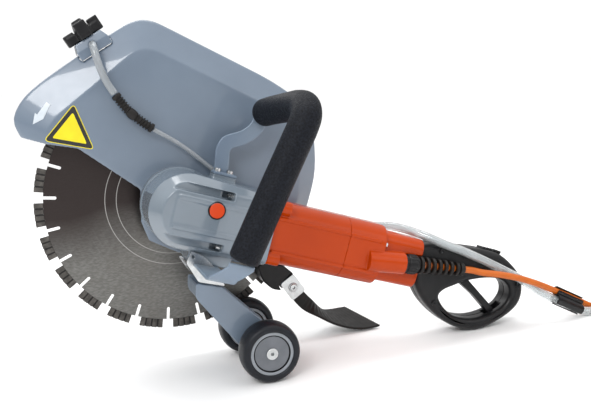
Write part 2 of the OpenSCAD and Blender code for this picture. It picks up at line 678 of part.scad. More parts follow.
module wheel_bracket() color(zinc) difference() {
    union() {
        level() y_plate(arm_near - 2.5, arm_near) polygon(rounded(bracket_near, 3));
        level() y_plate(arm_far, arm_far + 2.5) polygon(rounded(bracket_far, 3));
        // flange against the underside of the strap and the gearbox pad
        machine() translate([18, arm_near - 1, -64.1]) cube([38, arm_far - arm_near + 2, 2.5]);
        machine() translate([18, arm_near - 1, -64.1]) cube([2.5, arm_far - arm_near + 2, 2.5]);
    }
    level() y_plate(arm_near - 9, arm_far + 9) polygon([[11, -80], [17, -70], [25, -84]]);
    level() translate([1, 0, -54]) y_cyl(-200, 0, 2);
    machine() for (x = [26, 48], y = [-108, -68]) translate([x, y, -70]) cylinder(h = 30, r = 2.6);
}
near_mid = -141;
far_mid = -27;
module wheel_axle() color(zinc) level() translate([axle[0], 0, axle[1]]) {
    difference() {
        union() {
            y_cyl(near_mid - 13.1, far_mid + 13.1, 6);
            y_cyl(near_mid - 15, near_mid - 13.1, 7.2);
            y_cyl(far_mid + 13.1, far_mid + 15, 7.2);
        }
        // hex sockets of the end screws
        y_cyl(near_mid - 16, near_mid - 10, 2.4, 6);
        y_cyl(far_mid + 10, far_mid + 16, 2.4, 6);
    }
    ring(near_mid + 13.1, arm_near, 6, 9, 48);
    ring(arm_far, far_mid - 13.1, 6, 9, 48);
}
tyre_in = 27;
wheel_r = wheel_d / 2;
module tyre(mid) level() translate([axle[0], mid, axle[1]]) rotate([90, 0, 0])
    rotate_extrude($fn = 96) polygon([[tyre_in, -wheel_w / 2 + 1.5], [28.5, -wheel_w / 2],
        [wheel_r - 5, -wheel_w / 2 + 0.8], [wheel_r - 2, -wheel_w / 2 + 4],
        [wheel_r - 0.4, -wheel_w / 2 + 9], [wheel_r, -3], [wheel_r, 3],
        [wheel_r - 0.4, wheel_w / 2 - 9], [wheel_r - 2, wheel_w / 2 - 4],
        [wheel_r - 5, wheel_w / 2 - 0.8], [28.5, wheel_w / 2], [tyre_in, wheel_w / 2 - 1.5]]);
groove_r = 22.3;
module rim(mid) level() translate([axle[0], mid, axle[1]]) rotate([90, 0, 0])
    rotate_extrude($fn = 96) polygon([[6 + run_gap, -13], [groove_r - 0.6, -13],
        [groove_r - 0.2, -11.5], [groove_r + 0.6, -11.5], [groove_r + 1, -14.4], [tyre_in, -14.4],
        [tyre_in, 14.4], [groove_r + 1, 14.4], [groove_r + 0.6, 11.5], [groove_r - 0.2, 11.5],
        [groove_r - 0.6, 13], [6 + run_gap, 13]]);
module near_tyre() color(black) tyre(near_mid);
module far_tyre() color(black) tyre(far_mid);
module near_rim() color(cast_grey) rim(near_mid);
module far_rim() color(cast_grey) rim(far_mid);

// ---------------------------------------------------------------- rear handle
handle_half = 19;
handle_outer = closed_curve([[300, -120], [296, -104], [310, -88], [330, -84], [357, -89], [381, -96],
    [411, -104], [434, -114], [452, -130], [465, -149], [468, -171], [458, -192], [430, -208],
    [394, -216.5], [362, -208], [336, -190], [315, -166], [304, -143]], 3);
handle_inner = closed_curve([[336, -160], [343, -152], [358, -148], [380, -144], [408, -144],
    [432, -149], [445, -160], [446, -175], [434, -189], [412, -197], [386, -198.5], [360, -191],
    [344, -177]], 3);
pivot = [424, -203];
lever_line = rounded([[418, -200, 3], [422, -208, 3], [429, -206, 3], [428, -198, 3], [422, -188, 4],
    [384, -141, 2], [374, -136, 3], [369, -140, 2], [374, -148, 3], [394, -168, 4],
    [413, -192, 4]], 3);
handle_fixings = [[341, -96], [377, -108], [458, -160], [326, -166]];
module handle_half_shell(y0, y1) level() difference() {
    y_plate(y0, y1) polygon(handle_outer);
    y_plate(y0 - 1, y1 + 1) polygon(handle_inner);
    // room for the trigger lever, its pivot eye and the switch
    y_plate(-motor_off - 7, -motor_off + 7)
        polygon([[366, -150], [406, -150], [412, -128], [366, -118]]);
    y_plate(-motor_off - 7, -motor_off + 7) polygon([[404, -188], [438, -184], [437, -203],
        [428, -209.5], [418, -209.5]]);
    translate([pivot[0], 0, pivot[1]]) y_cyl(-motor_off - 12, -motor_off + 12, 2 + run_gap);
    y_plate(-motor_off - 13, -motor_off + 13) polygon([[312, -128], [364, -128], [364, -112],
        [312, -106]]);
    // well of the lock-off button
    y_plate(-motor_off - 8.5, -motor_off + 8.5) polygon([[398, -86], [401, -114], [432, -136],
        [448, -128], [462, -100], [440, -86]]);
    for (p = handle_fixings) translate([p[0], 0, p[1]]) y_cyl(-motor_off - 30, -motor_off + 14, 2);
    neck_clear();
}
// the handle's root starts behind the end face of the neck
module neck_clear() rotate([0, tilt, 0]) translate([0, -200, -200]) cube([neck_s, 400, 400]);
module handle_shell_near() color(black)
    handle_half_shell(-motor_off - handle_half, -motor_off);
module handle_shell_far() color(black)
    handle_half_shell(-motor_off, -motor_off + handle_half);
module switch_module() color([0.2, 0.2, 0.22]) level()
    y_plate(-motor_off - 12, -motor_off + 12) polygon([[322, -126], [362, -126], [362, -114],
        [322, -110]]);
module trigger_lever() color(black) level() {
    y_plate(-motor_off - 6, -motor_off + 6) difference() {
        polygon(lever_line);
        translate(pivot) circle(r = 2);
    }
    translate([pivot[0], 0, pivot[1]]) y_cyl(-motor_off - 11.5, -motor_off + 11.5, 2);
}
button_at = [424, -111];
module lock_off_button() color(black) level() translate([button_at[0], 0, button_at[1]])
    rotate([0, 28, 0]) {
        translate([-16, -motor_off - 8, -8]) cube([32, 16, 10]);
        for (k = [0 : 4])
            translate([-11 + 5.5 * k, -motor_off - 8, 1.9]) cube([2.6, 16, 1.6 + 0.8 * k]);
        translate([-16, -motor_off - 8, 0]) cube([4, 16, 3]);
    }
module spindle_lock_button() color(orange) machine() translate([lock_s, 0, lock_h]) {
    y_cyl(gear_y0 - 3, gear_y0 + 1, 9);
    y_cyl(gear_y0 + 1, -106, 4);
}

// ---------------------------------------------------------------- cable, hose and their coils
module cable_gland() color(black) gland_frame() difference() {
    union() {
        s_cyl(22, 35, 9);
        s_cyl(35, 38, 12.5);
        s_cyl(38, 40, 11);
        s_cyl(40, 56, 12.5);
    }
    s_cyl(21, 57, cable_d / 2);
}
relief_s = 56;
relief_len = 70;
rib_step = 9;
module strain_relief() color(black) gland_frame() difference() {
    union() {
        translate([relief_s, 0, 0]) rotate([0, 90, 0])
            cylinder(h = relief_len - 0.5, r1 = 8, r2 = 6.4);
        for (k = [0 : 6]) translate([relief_s + 2 + rib_step * k, 0, 0]) s_cyl(0, 4.4, 12 - 0.35 * k);
        translate([relief_s + relief_len - 6, 0, 0]) s_cyl(0, 6, 8.8);
    }
    s_cyl(relief_s - 1, relief_s + relief_len + 1, cable_d / 2);
}
// end of the relief in the level frame, and the direction of the cable there
relief_dir = [cos(tilt + gland_lift), 0, -sin(tilt + gland_lift)];
cable_exit = to_level([gland_at[0], gland_at[1] - motor_off, gland_at[2]])
    + (relief_s + relief_len) * relief_dir;
floor_z = -spindle_z;
cable_rest = floor_z + cable_d / 2 + 0.1;
hose_rest = floor_z + hose_d / 2 + 0.1;
// the coils: centre, mean radius, half the width of the bundle and its height
cable_coil_at = [684, -152];
cable_coil_r = 52;
cable_bundle = [16.6, 37];
hose_coil_at = [525, -318];
hose_coil_r = 66.5;
hose_bundle = [16.6, 26];
cable_route = [cable_exit, cable_exit + 14 * relief_dir, [394, -121.5, -129.5],
    [422, -124, -136], [450, -124.5, -145], [480, -123, -158], [508, -120, -172],
    [532, -117.5, -184], [556, -115, -197], [570, -113.5, -204.5], [585, -111, -210.5],
    [604, -104, cable_rest], [624, -95, cable_rest], [642, -89.5, cable_rest],
    [660, -88, cable_rest]];
hose_start = [249, -38, -63];
hose_route = [hose_start, [262, -43, -62.2], [277, -53, -61.1], [292, -66, -62.4],
    [304, -80, -65.7], [316, -94, -70.9], [328, -105, -77], [340, -112, -84], [365, -114, -96],
    [394, -113.5, -111.5], [426, -112.5, -130], [452, -112, -146], [474, -112.5, -161.5],
    [490, -115.5, -174], [505, -121.5, -183.5], [520, -124, -191], [536, -122.3, -199.2],
    [551, -120.5, -207], [566, -122.5, hose_rest], [582, -131.5, hose_rest],
    [596, -147, hose_rest], [602, -170, hose_rest], [602, -200, hose_rest],
    [602, -230, hose_rest], [602, -260, hose_rest], [602, -288, hose_rest]];
module mains_cable() color(orange) level()
    tube(open_curve(cable_route, 3), cable_d / 2, 10, [0, 1, 0.2]);
module coil(at, r, bundle) level() translate([at[0], at[1], floor_z])
    rotate_extrude($fn = 64) translate([r - bundle[0], 0]) square([2 * bundle[0], bundle[1]]);
module cable_coil() color(orange) coil(cable_coil_at, cable_coil_r, cable_bundle);
module supply_hose() color(clear) level()
    tube(open_curve(hose_route, 2), hose_d / 2, 8, [0, 0, 1]);
module hose_coil() color(clear) coil(hose_coil_at, hose_coil_r, hose_bundle);
// plug lying beside the coil
module mains_plug() color(black) level() translate([688, -245, floor_z + 20]) mirror([1, 0, 0]) {
    s_cyl(0, 38, 19.9);
    translate([-14, 0, 0]) rotate([0, 90, 0]) cylinder(h = 14, r1 = 7, r2 = 12);
    for (y = [-9.5, 9.5]) translate([0, y, 0]) s_cyl(38, 57, 2.4);
}
// tap coupling on the end of the hose
module hose_coupling() color(black) level() translate([476, -395, floor_z + 14.1])
    mirror([1, 0, 0]) difference() {
        union() {
            s_cyl(0, 22, 10);
            s_cyl(22, 44, 14);
        }
        s_cyl(24, 45, 8);
    }
// elbow on the far flank of the casing, where the hose is pushed on
module water_inlet() color(black) {
    motor_at() translate([225, casing_flat, 12]) cube([26, 5, 20]);
    motor_at() translate([238, casing_flat + 5, 22]) rotate([90, 0, 0])
        translate([0, 0, -6]) cylinder(h = 6, r = 8);
    level() translate(hose_start) rotate([0, 4, -24]) difference() {
        s_cyl(-15, -0.2, 6);
        s_cyl(-14, 1, 4);
    }
}
// double clip: an open channel for the cable with a second one for the hose under it
clip_at = [532, -117.5, -184];
clip_len = 50;
clip_turn = [0, 28.3, 6];
hose_in_clip = [-5, -11.5];
module clip_channel(at, r, gap_turn) translate(at) difference() {
    circle(r = r + 1.9);
    circle(r = r);
    rotate(gap_turn) translate([0, -r * 0.5]) square([2 * r, r]);
}
module cord_clip() color(black) level() translate(clip_at) rotate(clip_turn)
    s_bar(-clip_len / 2, clip_len / 2) {
        clip_channel([0, 0], cable_d / 2 + 0.2, 140);
        clip_channel(hose_in_clip, hose_d / 2 + 0.2, 250);
    }

// ---------------------------------------------------------------- assembly
gearbox_housing();
gearbox_cover();
casing_screws();
motor_housing();
rear_housing();
stator_core();
field_windings();
brush_holders();
carbon_brushes();
ball_bearings();
handle_shell_near();
handle_shell_far();
switch_module();
cable_gland();
strain_relief();
bail_plate();
bail_tube();
bail_strap();
foam_grip();
bail_bolts();
wheel_bracket();
wheel_arm();
wheel_axle();
armature_shaft();
armature_core();
commutator();
cooling_fan();
pinion();
spindle();
crown_gear();
inner_flange();
blade_core();
blade_segments();
outer_flange();
clamp_bolt();
guard_shell();
guard_clamp_ring();
nozzle_block();
guard_hose();
hose_coupler();
guard_tube();
flap_holder();
flap();
flap_clamp();
nozzle_knob();
near_tyre();
near_rim();
far_tyre();
far_rim();
trigger_lever();
lock_off_button();
spindle_lock_button();
mains_cable();
cable_coil();
mains_plug();
water_inlet();
supply_hose();
hose_coil();
hose_coupling();
cord_clip();
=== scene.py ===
"""Looks of a hand-held wet cut-off saw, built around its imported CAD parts.

Sizes are in millimetres in three main frames: level (at the blade's centre), machine (turned with
the tool's tilt) and motor (the machine frame on the motor's axis). The nozzle, the flap's clamp and
the cable gland have frames of their own, set in these. Every mesh ends up in metres.
"""
import json
import math

import bmesh
import bpy
from mathutils import Matrix, Vector
from mathutils.bvhtree import BVHTree


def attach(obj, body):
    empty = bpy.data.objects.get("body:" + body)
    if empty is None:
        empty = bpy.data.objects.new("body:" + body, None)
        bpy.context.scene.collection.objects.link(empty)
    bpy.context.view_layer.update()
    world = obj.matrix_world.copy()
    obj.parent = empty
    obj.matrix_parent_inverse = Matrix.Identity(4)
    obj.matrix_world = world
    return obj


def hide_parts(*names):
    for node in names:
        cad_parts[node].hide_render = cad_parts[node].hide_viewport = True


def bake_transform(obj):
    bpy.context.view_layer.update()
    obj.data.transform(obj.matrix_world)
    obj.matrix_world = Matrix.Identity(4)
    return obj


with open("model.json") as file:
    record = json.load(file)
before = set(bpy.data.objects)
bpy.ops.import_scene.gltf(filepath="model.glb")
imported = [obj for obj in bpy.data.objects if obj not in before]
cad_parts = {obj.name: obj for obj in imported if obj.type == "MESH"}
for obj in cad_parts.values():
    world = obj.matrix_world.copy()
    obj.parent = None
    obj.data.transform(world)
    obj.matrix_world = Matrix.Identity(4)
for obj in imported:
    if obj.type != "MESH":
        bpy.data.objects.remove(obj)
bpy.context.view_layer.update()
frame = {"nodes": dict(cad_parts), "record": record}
nodes = frame["nodes"]

# ------------------------------------------------------------------ frames
MM = 0.001
SPINDLE = Vector((-0.14155, 0.104875, 0.2165))
TILT = math.radians(19.1)
MOTOR_OFF = 86
FLOOR = -SPINDLE.z / MM
LEVEL = Matrix.Translation(SPINDLE) @ Matrix.Scale(MM, 4)
MACHINE = LEVEL @ Matrix.Rotation(TILT, 4, "Y")
MOTOR = MACHINE @ Matrix.Translation((0, -MOTOR_OFF, 0))


def turned_frame(base, origin, degrees):
    """Frame at origin in the base frame, turned around its Y axis."""
    return base @ Matrix.Translation(origin) @ Matrix.Rotation(math.radians(degrees), 4, "Y")


NOZZLE = turned_frame(MACHINE, (-143, 0, 165), -48)     # Z points out along the valve
CLAMP = turned_frame(LEVEL, (150.5, -28, -136), 58)     # Y points into the flap
GLAND = turned_frame(MOTOR, (259, -33, -8.3), -6)       # X points along the leaving cable


# ------------------------------------------------------------------ camera and stage
CAMERA_AT = (-158.25, -1052.24, 160.86)
CAMERA_RIGHT = (0.9488, -0.309, -0.06495)
CAMERA_AHEAD = (0.2949, 0.9409, -0.16664)
LIGHTS_AIM = Vector((0, 0, 0.2))


def place_camera():
    """Seen from a little above, on the near side and slightly to the front."""
    data = bpy.data.cameras.new("camera")
    data.sensor_width = 36
    data.lens = 48.73
    data.clip_start = 0.02
    camera = bpy.data.objects.new("camera", data)
    bpy.context.scene.collection.objects.link(camera)
    right = Vector(CAMERA_RIGHT).normalized()
    ahead = Vector(CAMERA_AHEAD).normalized()
    up = right.cross(ahead)
    camera.matrix_world = (Matrix.Translation(LEVEL @ Vector(CAMERA_AT))
                           @ Matrix((right, up, -ahead)).transposed().to_4x4())
    bpy.context.scene.camera = camera


def soft_light(name, place, size, watts):
    data = bpy.data.lights.new(name, "AREA")
    data.shape = "RECTANGLE"
    data.size, data.size_y = size
    data.energy = watts
    lamp = bpy.data.objects.new(name, data)
    bpy.context.scene.collection.objects.link(lamp)
    lamp.location = place
    lamp.rotation_euler = (LIGHTS_AIM - Vector(place)).to_track_quat("-Z", "Y").to_euler()


def build_world():
    """White studio, brighter overhead. The camera itself sees it as plain white."""
    world = bpy.data.worlds.new("studio")
    world.use_nodes = True
    tree = world.node_tree
    direction = tree.nodes.new("ShaderNodeTexCoord")
    parts = tree.nodes.new("ShaderNodeSeparateXYZ")
    tree.links.new(direction.outputs["Generated"], parts.inputs["Vector"])
    sky = tree.nodes.new("ShaderNodeMapRange")
    for key, value in (("From Min", -0.05), ("From Max", 0.8), ("To Min", 0.3), ("To Max", 1.3)):
        sky.inputs[key].default_value = value
    tree.links.new(parts.outputs["Z"], sky.inputs["Value"])
    path = tree.nodes.new("ShaderNodeLightPath")
    seen = tree.nodes.new("ShaderNodeMix")
    seen.inputs["B"].default_value = 1.05
    tree.links.new(path.outputs["Is Camera Ray"], seen.inputs["Factor"])
    tree.links.new(sky.outputs["Result"], seen.inputs["A"])
    tree.links.new(seen.outputs["Result"], tree.nodes["Background"].inputs["Color"])
    bpy.context.scene.world = world


def build_stage():
    build_world()
    bpy.context.scene.view_settings.view_transform = "Standard"
    bpy.ops.mesh.primitive_circle_add(vertices=96, radius=40, fill_type="NGON")
    floor = bpy.context.object
    floor.name = "floor"
    floor.data.materials.append(plain("floor_white", (0.96, 0.96, 0.96), 0.6))
    soft_light("key", (-1.3, -1.7, 1.9), (1.1, 0.6), 26)
    soft_light("fill", (1.5, -1.6, 1.2), (1.2, 1.2), 5)
    soft_light("top", (0.1, 0.3, 2.2), (1.6, 0.5), 14)
    soft_light("back", (-0.6, 1.9, 1.4), (1.4, 0.9), 8)


# ------------------------------------------------------------------ materials
NOISE_SPAN = (0.3, 0.7)     # most of a noise's values lie between these


class Shader:
    """A Principled material whose colour, roughness and surface are built from noise."""

    def __init__(self, name, colour, roughness, **sockets):
        self.material = bpy.data.materials.new(name)
        self.material.use_nodes = True
        self.tree = self.material.node_tree
        self.surface = self.tree.nodes["Principled BSDF"]
        self.surface.inputs["Base Color"].default_value = (*colour, 1)
        self.surface.inputs["Roughness"].default_value = roughness
        for socket, value in sockets.items():
            self.surface.inputs[socket.replace("_", " ")].default_value = value
        self.material.diffuse_color = (*colour, 1)
        self.place = self.node("ShaderNodeTexCoord").outputs["Object"]
        self.normal = None

    def node(self, kind, **values):
        made = self.tree.nodes.new(kind)
        for key, value in values.items():
            setattr(made, key, value)
        return made

    def link(self, a, b):
        self.tree.links.new(a, b)

    def noise(self, size_mm, detail=3.0, stretch=None):
        """Noise whose spots are about size_mm across."""
        source = self.place
        if stretch:
            mapping = self.node("ShaderNodeMapping")
            mapping.inputs["Scale"].default_value = stretch
            self.link(source, mapping.inputs["Vector"])
            source = mapping.outputs["Vector"]
        made = self.node("ShaderNodeTexNoise")
        made.inputs["Scale"].default_value = 1 / (size_mm * MM)
        made.inputs["Detail"].default_value = detail
        self.link(source, made.inputs["Vector"])
        return made.outputs["Fac"]

    def spread(self, factor, low, high, out_low, out_high):
        """Maps low..high to out_low..out_high."""
        made = self.node("ShaderNodeMapRange")
        for key, value in zip(("From Min", "From Max", "To Min", "To Max"),
                              (low, high, out_low, out_high)):
            made.inputs[key].default_value = value
        self.link(factor, made.inputs["Value"])
        return made.outputs["Result"]

    def mix(self, factor, first, second):
        made = self.node("ShaderNodeMix", data_type="RGBA")
        self.link(factor, made.inputs["Factor"])
        for socket, value in ((made.inputs[6], first), (made.inputs[7], second)):
            if isinstance(value, tuple):
                socket.default_value = (*value, 1)
            else:
                self.link(value, socket)
        return made.outputs[2]

    def tones(self, dark, light, size_mm, detail=3.0):
        """Base colour that wanders between two tones."""
        blend = self.spread(self.noise(size_mm, detail), *NOISE_SPAN, 0, 1)
        self.link(self.mix(blend, dark, light), self.surface.inputs["Base Color"])

    def patchy(self, low, high, size_mm):
        """Roughness that wanders between two values."""
        self.link(self.spread(self.noise(size_mm, 4), *NOISE_SPAN, low, high),
                  self.surface.inputs["Roughness"])

    def soft_edge(self, radius_mm):
        """Edges that catch the light as if they were rounded."""
        made = self.node("ShaderNodeBevel", samples=6)
        made.inputs["Radius"].default_value = radius_mm * MM
        self.normal = made.outputs["Normal"]
        self.link(self.normal, self.surface.inputs["Normal"])

    def grain(self, size_mm, height_mm, strength, source=None):
        """Fine bumps, from noise or from another source of height."""
        made = self.node("ShaderNodeBump")
        made.inputs["Strength"].default_value = strength
        made.inputs["Distance"].default_value = height_mm * MM
        self.link(source or self.noise(size_mm, 2), made.inputs["Height"])
        if self.normal:
            self.link(self.normal, made.inputs["Normal"])
        self.normal = made.outputs["Normal"]
        self.link(self.normal, self.surface.inputs["Normal"])


def plain(name, colour, roughness, **sockets):
    return Shader(name, colour, roughness, **sockets).material


def painted(name, dark, light, rough, coat, edge, orange_peel, shine=0.5):
    """Sprayed paint, or smooth plastic, with a clear coat and a slight orange peel."""
    made = Shader(name, light, rough[0], Coat_Weight=coat, Coat_Roughness=0.07,
                  Specular_IOR_Level=shine)
    made.tones(dark, light, 60)
    made.patchy(*rough, 9)
    if edge:
        made.soft_edge(edge)
    made.grain(8, 0.06, orange_peel)
    return made.material


def moulded(name, dark, light, rough, grain_mm, height_mm, edge=0.5, shine=0.5):
    """Moulded plastic or rubber with a fine spark-eroded grain."""
    made = Shader(name, light, rough[0], Specular_IOR_Level=shine)
    made.tones(dark, light, 14)
    made.patchy(*rough, 5)
    if edge:
        made.soft_edge(edge)
    made.grain(grain_mm, height_mm, 0.6)
    return made.material


def metal(name, dark, light, rough, edge=0.4, metallic=1.0):
    made = Shader(name, light, rough[0], Metallic=metallic)
    made.tones(dark, light, 7, 4)
    made.patchy(*rough, 2.5)
    if edge:
        made.soft_edge(edge)
    made.grain(0.6, 0.03, 0.4)
    return made.material


def clear_tube(name, dark, light, clarity):
    """Milky to clear PVC; clarity is the part of the light that goes through."""
    made = Shader(name, light, 0.04, IOR=1.12, Transmission_Weight=clarity,
                  Coat_Weight=1, Coat_Roughness=0.05)
    made.tones(dark, light, 30)
    made.patchy(0.03, 0.06, 16)
    return made.material


def foam_rubber():
    """Closed-cell foam: near-black skin, speckled by its cells."""
    made = Shader("foam_rubber", (0.005, 0.006, 0.009), 0.55, Specular_IOR_Level=0.16)
    made.tones((0.0008, 0.001, 0.0022), (0.01, 0.012, 0.018), 2.1, 4)
    made.patchy(0.42, 0.7, 2)
    made.grain(1.7, 0.8, 0.8)
    return made.material


RINGS_PER_M = 3500              # of the ground blade's noise, across its rings
RING_SWEEP = 1.6                # and around them, per radian
TURNED_LINES = (0.087, 0.0725)  # radii in metres
TURNED_HALF = 0.0005


def blade_steel():
    """Ground steel: fine rings around the spindle, a brown cast, painted shade and reflection that
    darken it towards the top, and two bright turned lines.
    """
    made = Shader("blade_steel", (0.2, 0.18, 0.165), 0.34, Metallic=0.9, Anisotropic=0.55)
    middle = made.node("ShaderNodeVectorMath", operation="SUBTRACT")
    made.link(made.place, middle.inputs[0])
    middle.inputs[1].default_value = SPINDLE
    parts = made.node("ShaderNodeSeparateXYZ")
    made.link(middle.outputs["Vector"], parts.inputs["Vector"])

    def maths(operation, a, b=None):
        step = made.node("ShaderNodeMath", operation=operation)
        for socket, value in zip(step.inputs, (a, b)):
            if isinstance(value, (int, float)):
                socket.default_value = value
            elif value is not None:
                made.link(value, socket)
        return step.outputs["Value"]

    across, height = parts.outputs["X"], parts.outputs["Z"]
    radius = maths("SQRT", maths("ADD", maths("MULTIPLY", across, across),
                                 maths("MULTIPLY", height, height)))
    turn = maths("ARCTAN2", height, across)
    polar = made.node("ShaderNodeCombineXYZ")
    made.link(maths("MULTIPLY", radius, RINGS_PER_M), polar.inputs["X"])
    made.link(maths("MULTIPLY", turn, RING_SWEEP), polar.inputs["Y"])
    rings = made.node("ShaderNodeTexNoise")
    rings.inputs["Scale"].default_value = 1
    rings.inputs["Detail"].default_value = 5
    made.link(polar.outputs["Vector"], rings.inputs["Vector"])
    base = made.mix(made.spread(rings.outputs["Fac"], *NOISE_SPAN, 0, 1),
                    (0.15, 0.148, 0.14), (0.225, 0.222, 0.212))
    speckled = made.mix(made.spread(made.noise(1.6, 4, (0.3, 1, 1)), 0.36, 0.64, 0, 0.55),
                        base, (0.09, 0.087, 0.08))
    stain_and_shade = made.mix(made.spread(made.noise(55, 4), 0.42, 0.68, 0, 0.4),
                       speckled, (0.13, 0.118, 0.105))
    # painted shade and reflection: darker towards the top, under the guard, with an uneven border
    painted_shade = maths("ADD", maths("MULTIPLY", across, -0.12),
                 maths("ADD", height, maths("MULTIPLY", made.noise(90, 3), 0.05)))
    stain_and_shade = made.mix(made.spread(painted_shade, -0.035, 0.035, 1, 0.04),
                       (0.036, 0.028, 0.027), stain_and_shade)
    bright = None
    for turned in TURNED_LINES:
        away = maths("ABSOLUTE", maths("SUBTRACT", radius, turned))
        line = maths("LESS_THAN", away, TURNED_HALF)
        bright = line if bright is None else maths("ADD", bright, line)
    made.link(made.mix(bright, stain_and_shade, (0.34, 0.33, 0.32)), made.surface.inputs["Base Color"])
    made.link(made.spread(rings.outputs["Fac"], 0.25, 0.75, 0.28, 0.42),
              made.surface.inputs["Roughness"])
    tangent = made.node("ShaderNodeTangent", direction_type="RADIAL", axis="Y")
    made.link(tangent.outputs["Tangent"], made.surface.inputs["Tangent"])
    made.grain(1, 0.02, 0.35, source=rings.outputs["Fac"])
    return made.material


# darker and lighter tone, range of roughness, then what the function asks for
PAINT = {
    "guard_paint": painted("guard_paint", (0.13, 0.17, 0.225), (0.15, 0.194, 0.252),
                           (0.29, 0.36), 0.55, 0, 0.06),
    "cast_paint": painted("cast_paint", (0.15, 0.185, 0.22), (0.172, 0.21, 0.25),
                          (0.16, 0.24), 0.6, 0, 0.05),
    "plate_paint": painted("plate_paint", (0.15, 0.2, 0.27), (0.18, 0.235, 0.3),
                           (0.29, 0.36), 0.3, 0.7, 0.14),
    "orange_casing": painted("orange_plastic", (0.4, 0.038, 0.0003), (0.45, 0.045, 0.0004),
                             (0.18, 0.26), 0.12, 0, 0.05, 0.16),
    "button_orange": painted("button_orange", (0.6, 0.05, 0.008), (0.66, 0.06, 0.01),
                             (0.29, 0.34), 0.3, 0.5, 0.1),
    "black_plastic": moulded("black_plastic", (0.006, 0.006, 0.007), (0.011, 0.011, 0.012),
                             (0.3, 0.42), 0.5, 0.05, 0.5, 0.28),
    "grip_foam": foam_rubber(),
    "tyre": moulded("tyre_rubber", (0.006, 0.007, 0.01), (0.011, 0.013, 0.018),
                    (0.38, 0.5), 0.4, 0.04, 0.6, 0.28),
    "black_rubber": moulded("flap_rubber", (0.007, 0.006, 0.0055), (0.015, 0.013, 0.012),
                            (0.34, 0.5), 0.8, 0.08, 0.4, 0.25),
    "rim": moulded("rim_plastic", (0.21, 0.23, 0.25), (0.25, 0.27, 0.3), (0.29, 0.35),
                   0.5, 0.02, 0.5),
    "rim_disc": moulded("rim_disc", (0.11, 0.12, 0.135), (0.14, 0.15, 0.17), (0.3, 0.4),
                        0.5, 0.04, 0.4),
    "zinc": metal("zinc_plate", (0.46, 0.47, 0.475), (0.58, 0.595, 0.6), (0.2, 0.265)),
    "machined_steel": metal("ground_steel", (0.42, 0.42, 0.43), (0.6, 0.6, 0.61), (0.29, 0.4)),
    "alu": metal("flange_steel", (0.33, 0.33, 0.34), (0.4, 0.4, 0.41), (0.29, 0.42)),
    "segment": metal("segment_matrix", (0.05, 0.046, 0.042), (0.12, 0.11, 0.1), (0.5, 0.75), 0.35,
                     metallic=0.45),
    # painted shade: a near-black finish for the recesses between a segment's blocks
    "segment_groove_shade": metal("segment_groove_shade", (0.006, 0.005, 0.005), (0.014, 0.012, 0.011),
                            (0.6, 0.8), 0, metallic=0.1),
    "copper": metal("copper_wire", (0.5, 0.22, 0.1), (0.75, 0.38, 0.2), (0.3, 0.45)),
    "laminations": metal("core_laminations", (0.16, 0.15, 0.15), (0.24, 0.23, 0.22), (0.4, 0.55)),
    "carbon": moulded("brush_carbon", (0.02, 0.02, 0.022), (0.04, 0.04, 0.044), (0.5, 0.7),
                      0.3, 0.03),
    "cable_orange": moulded("cable_jacket", (0.5, 0.1, 0.001), (0.58, 0.125, 0.002), (0.36, 0.46),
                            0.6, 0.03, 0),
    "clear_hose": clear_tube("clear_pvc", (0.68, 0.72, 0.73), (0.8, 0.83, 0.84), 0.75),
    "nozzle_pvc": clear_tube("nozzle_pvc", (0.42, 0.46, 0.49), (0.54, 0.57, 0.6), 0.55),
    "blade_steel": blade_steel(),
    "yellow": moulded("sign_yellow", (0.74, 0.6, 0.006), (0.8, 0.68, 0.008), (0.3, 0.4),
                      3, 0.02, 0),
    "sign_black": moulded("sign_black", (0.012, 0.012, 0.012), (0.02, 0.02, 0.02), (0.3, 0.4),
                          3, 0.02, 0),
    "sign_white": moulded("sign_white", (0.5, 0.55, 0.6), (0.6, 0.65, 0.7), (0.35, 0.45),
                          3, 0.02, 0),
}

# finishes that are a variant of a slot's finish
SLOTS = {entry["node"]: entry["material_slot"] for entry in frame["record"]["subparts"]}
for node_name, slot_name in SLOTS.items():
    nodes[node_name].data.materials.clear()
    nodes[node_name].data.materials.append(PAINT[slot_name])


def repaint(node_name, paint, wanted):
    """Gives some faces of a CAD node another finish: those whose middle, in level mm, is wanted."""
    mesh = nodes[node_name].data
    mesh.materials.append(PAINT[paint])
    to_level = LEVEL.inverted()
    for face in mesh.polygons:
        if wanted(to_level @ face.center):
            face.material_index = len(mesh.materials) - 1


HANDLE_SCREWS_FROM = 318    # the screws behind this are in the handle
SEGMENT_FACE = 1.5          # the blocks of a segment stand farther out of the blade's plane
AXLE = (81, -179)
GROOVE = (21.5, 23.3)       # radii of the groove in each rim


def from_axle(p):
    return math.hypot(p.x - AXLE[0], p.z - AXLE[1])


repaint("casing_screws", "black_plastic", lambda p: p.x > HANDLE_SCREWS_FROM)
# painted shade: faces near the blade's plane, between a segment's blocks, get a near-black finish
repaint("blade_segments", "segment_groove_shade", lambda p: abs(p.y) < SEGMENT_FACE)
for rim_node in ("near_rim", "far_rim"):
    repaint(rim_node, "rim_disc", lambda p: from_axle(p) < GROOVE[0])
    # painted shade: the faces in each rim's groove get black plastic, for the shade inside the
    # groove
    repaint(rim_node, "black_plastic", lambda p: GROOVE[0] <= from_axle(p) < GROOVE[1])


# ------------------------------------------------------------------ curves and mesh helpers
def catmull(a, b, c, d, t):
    """Catmull-Rom curve from b to c."""
    return 0.5 * (2 * b + (c - a) * t + (2 * a - 5 * b + 4 * c - d) * t * t
                  + (3 * b - a - 3 * c + d) * t ** 3)


def open_curve(points, steps):
    """Smooth curve through the points, steps a span, the same as in the CAD."""
    p = [Vector(q) for q in points]
    last = len(p) - 1
    out = [catmull(p[max(i - 1, 0)], p[i], p[i + 1], p[min(i + 2, last)], k / steps)
           for i in range(last) for k in range(steps)]
    return out + [p[last]]


def closed_curve(points, steps):
    p = [Vector(q) for q in points]
    n = len(p)
    return [catmull(p[i - 1], p[i], p[(i + 1) % n], p[(i + 2) % n], k / steps)
            for i in range(n) for k in range(steps)]


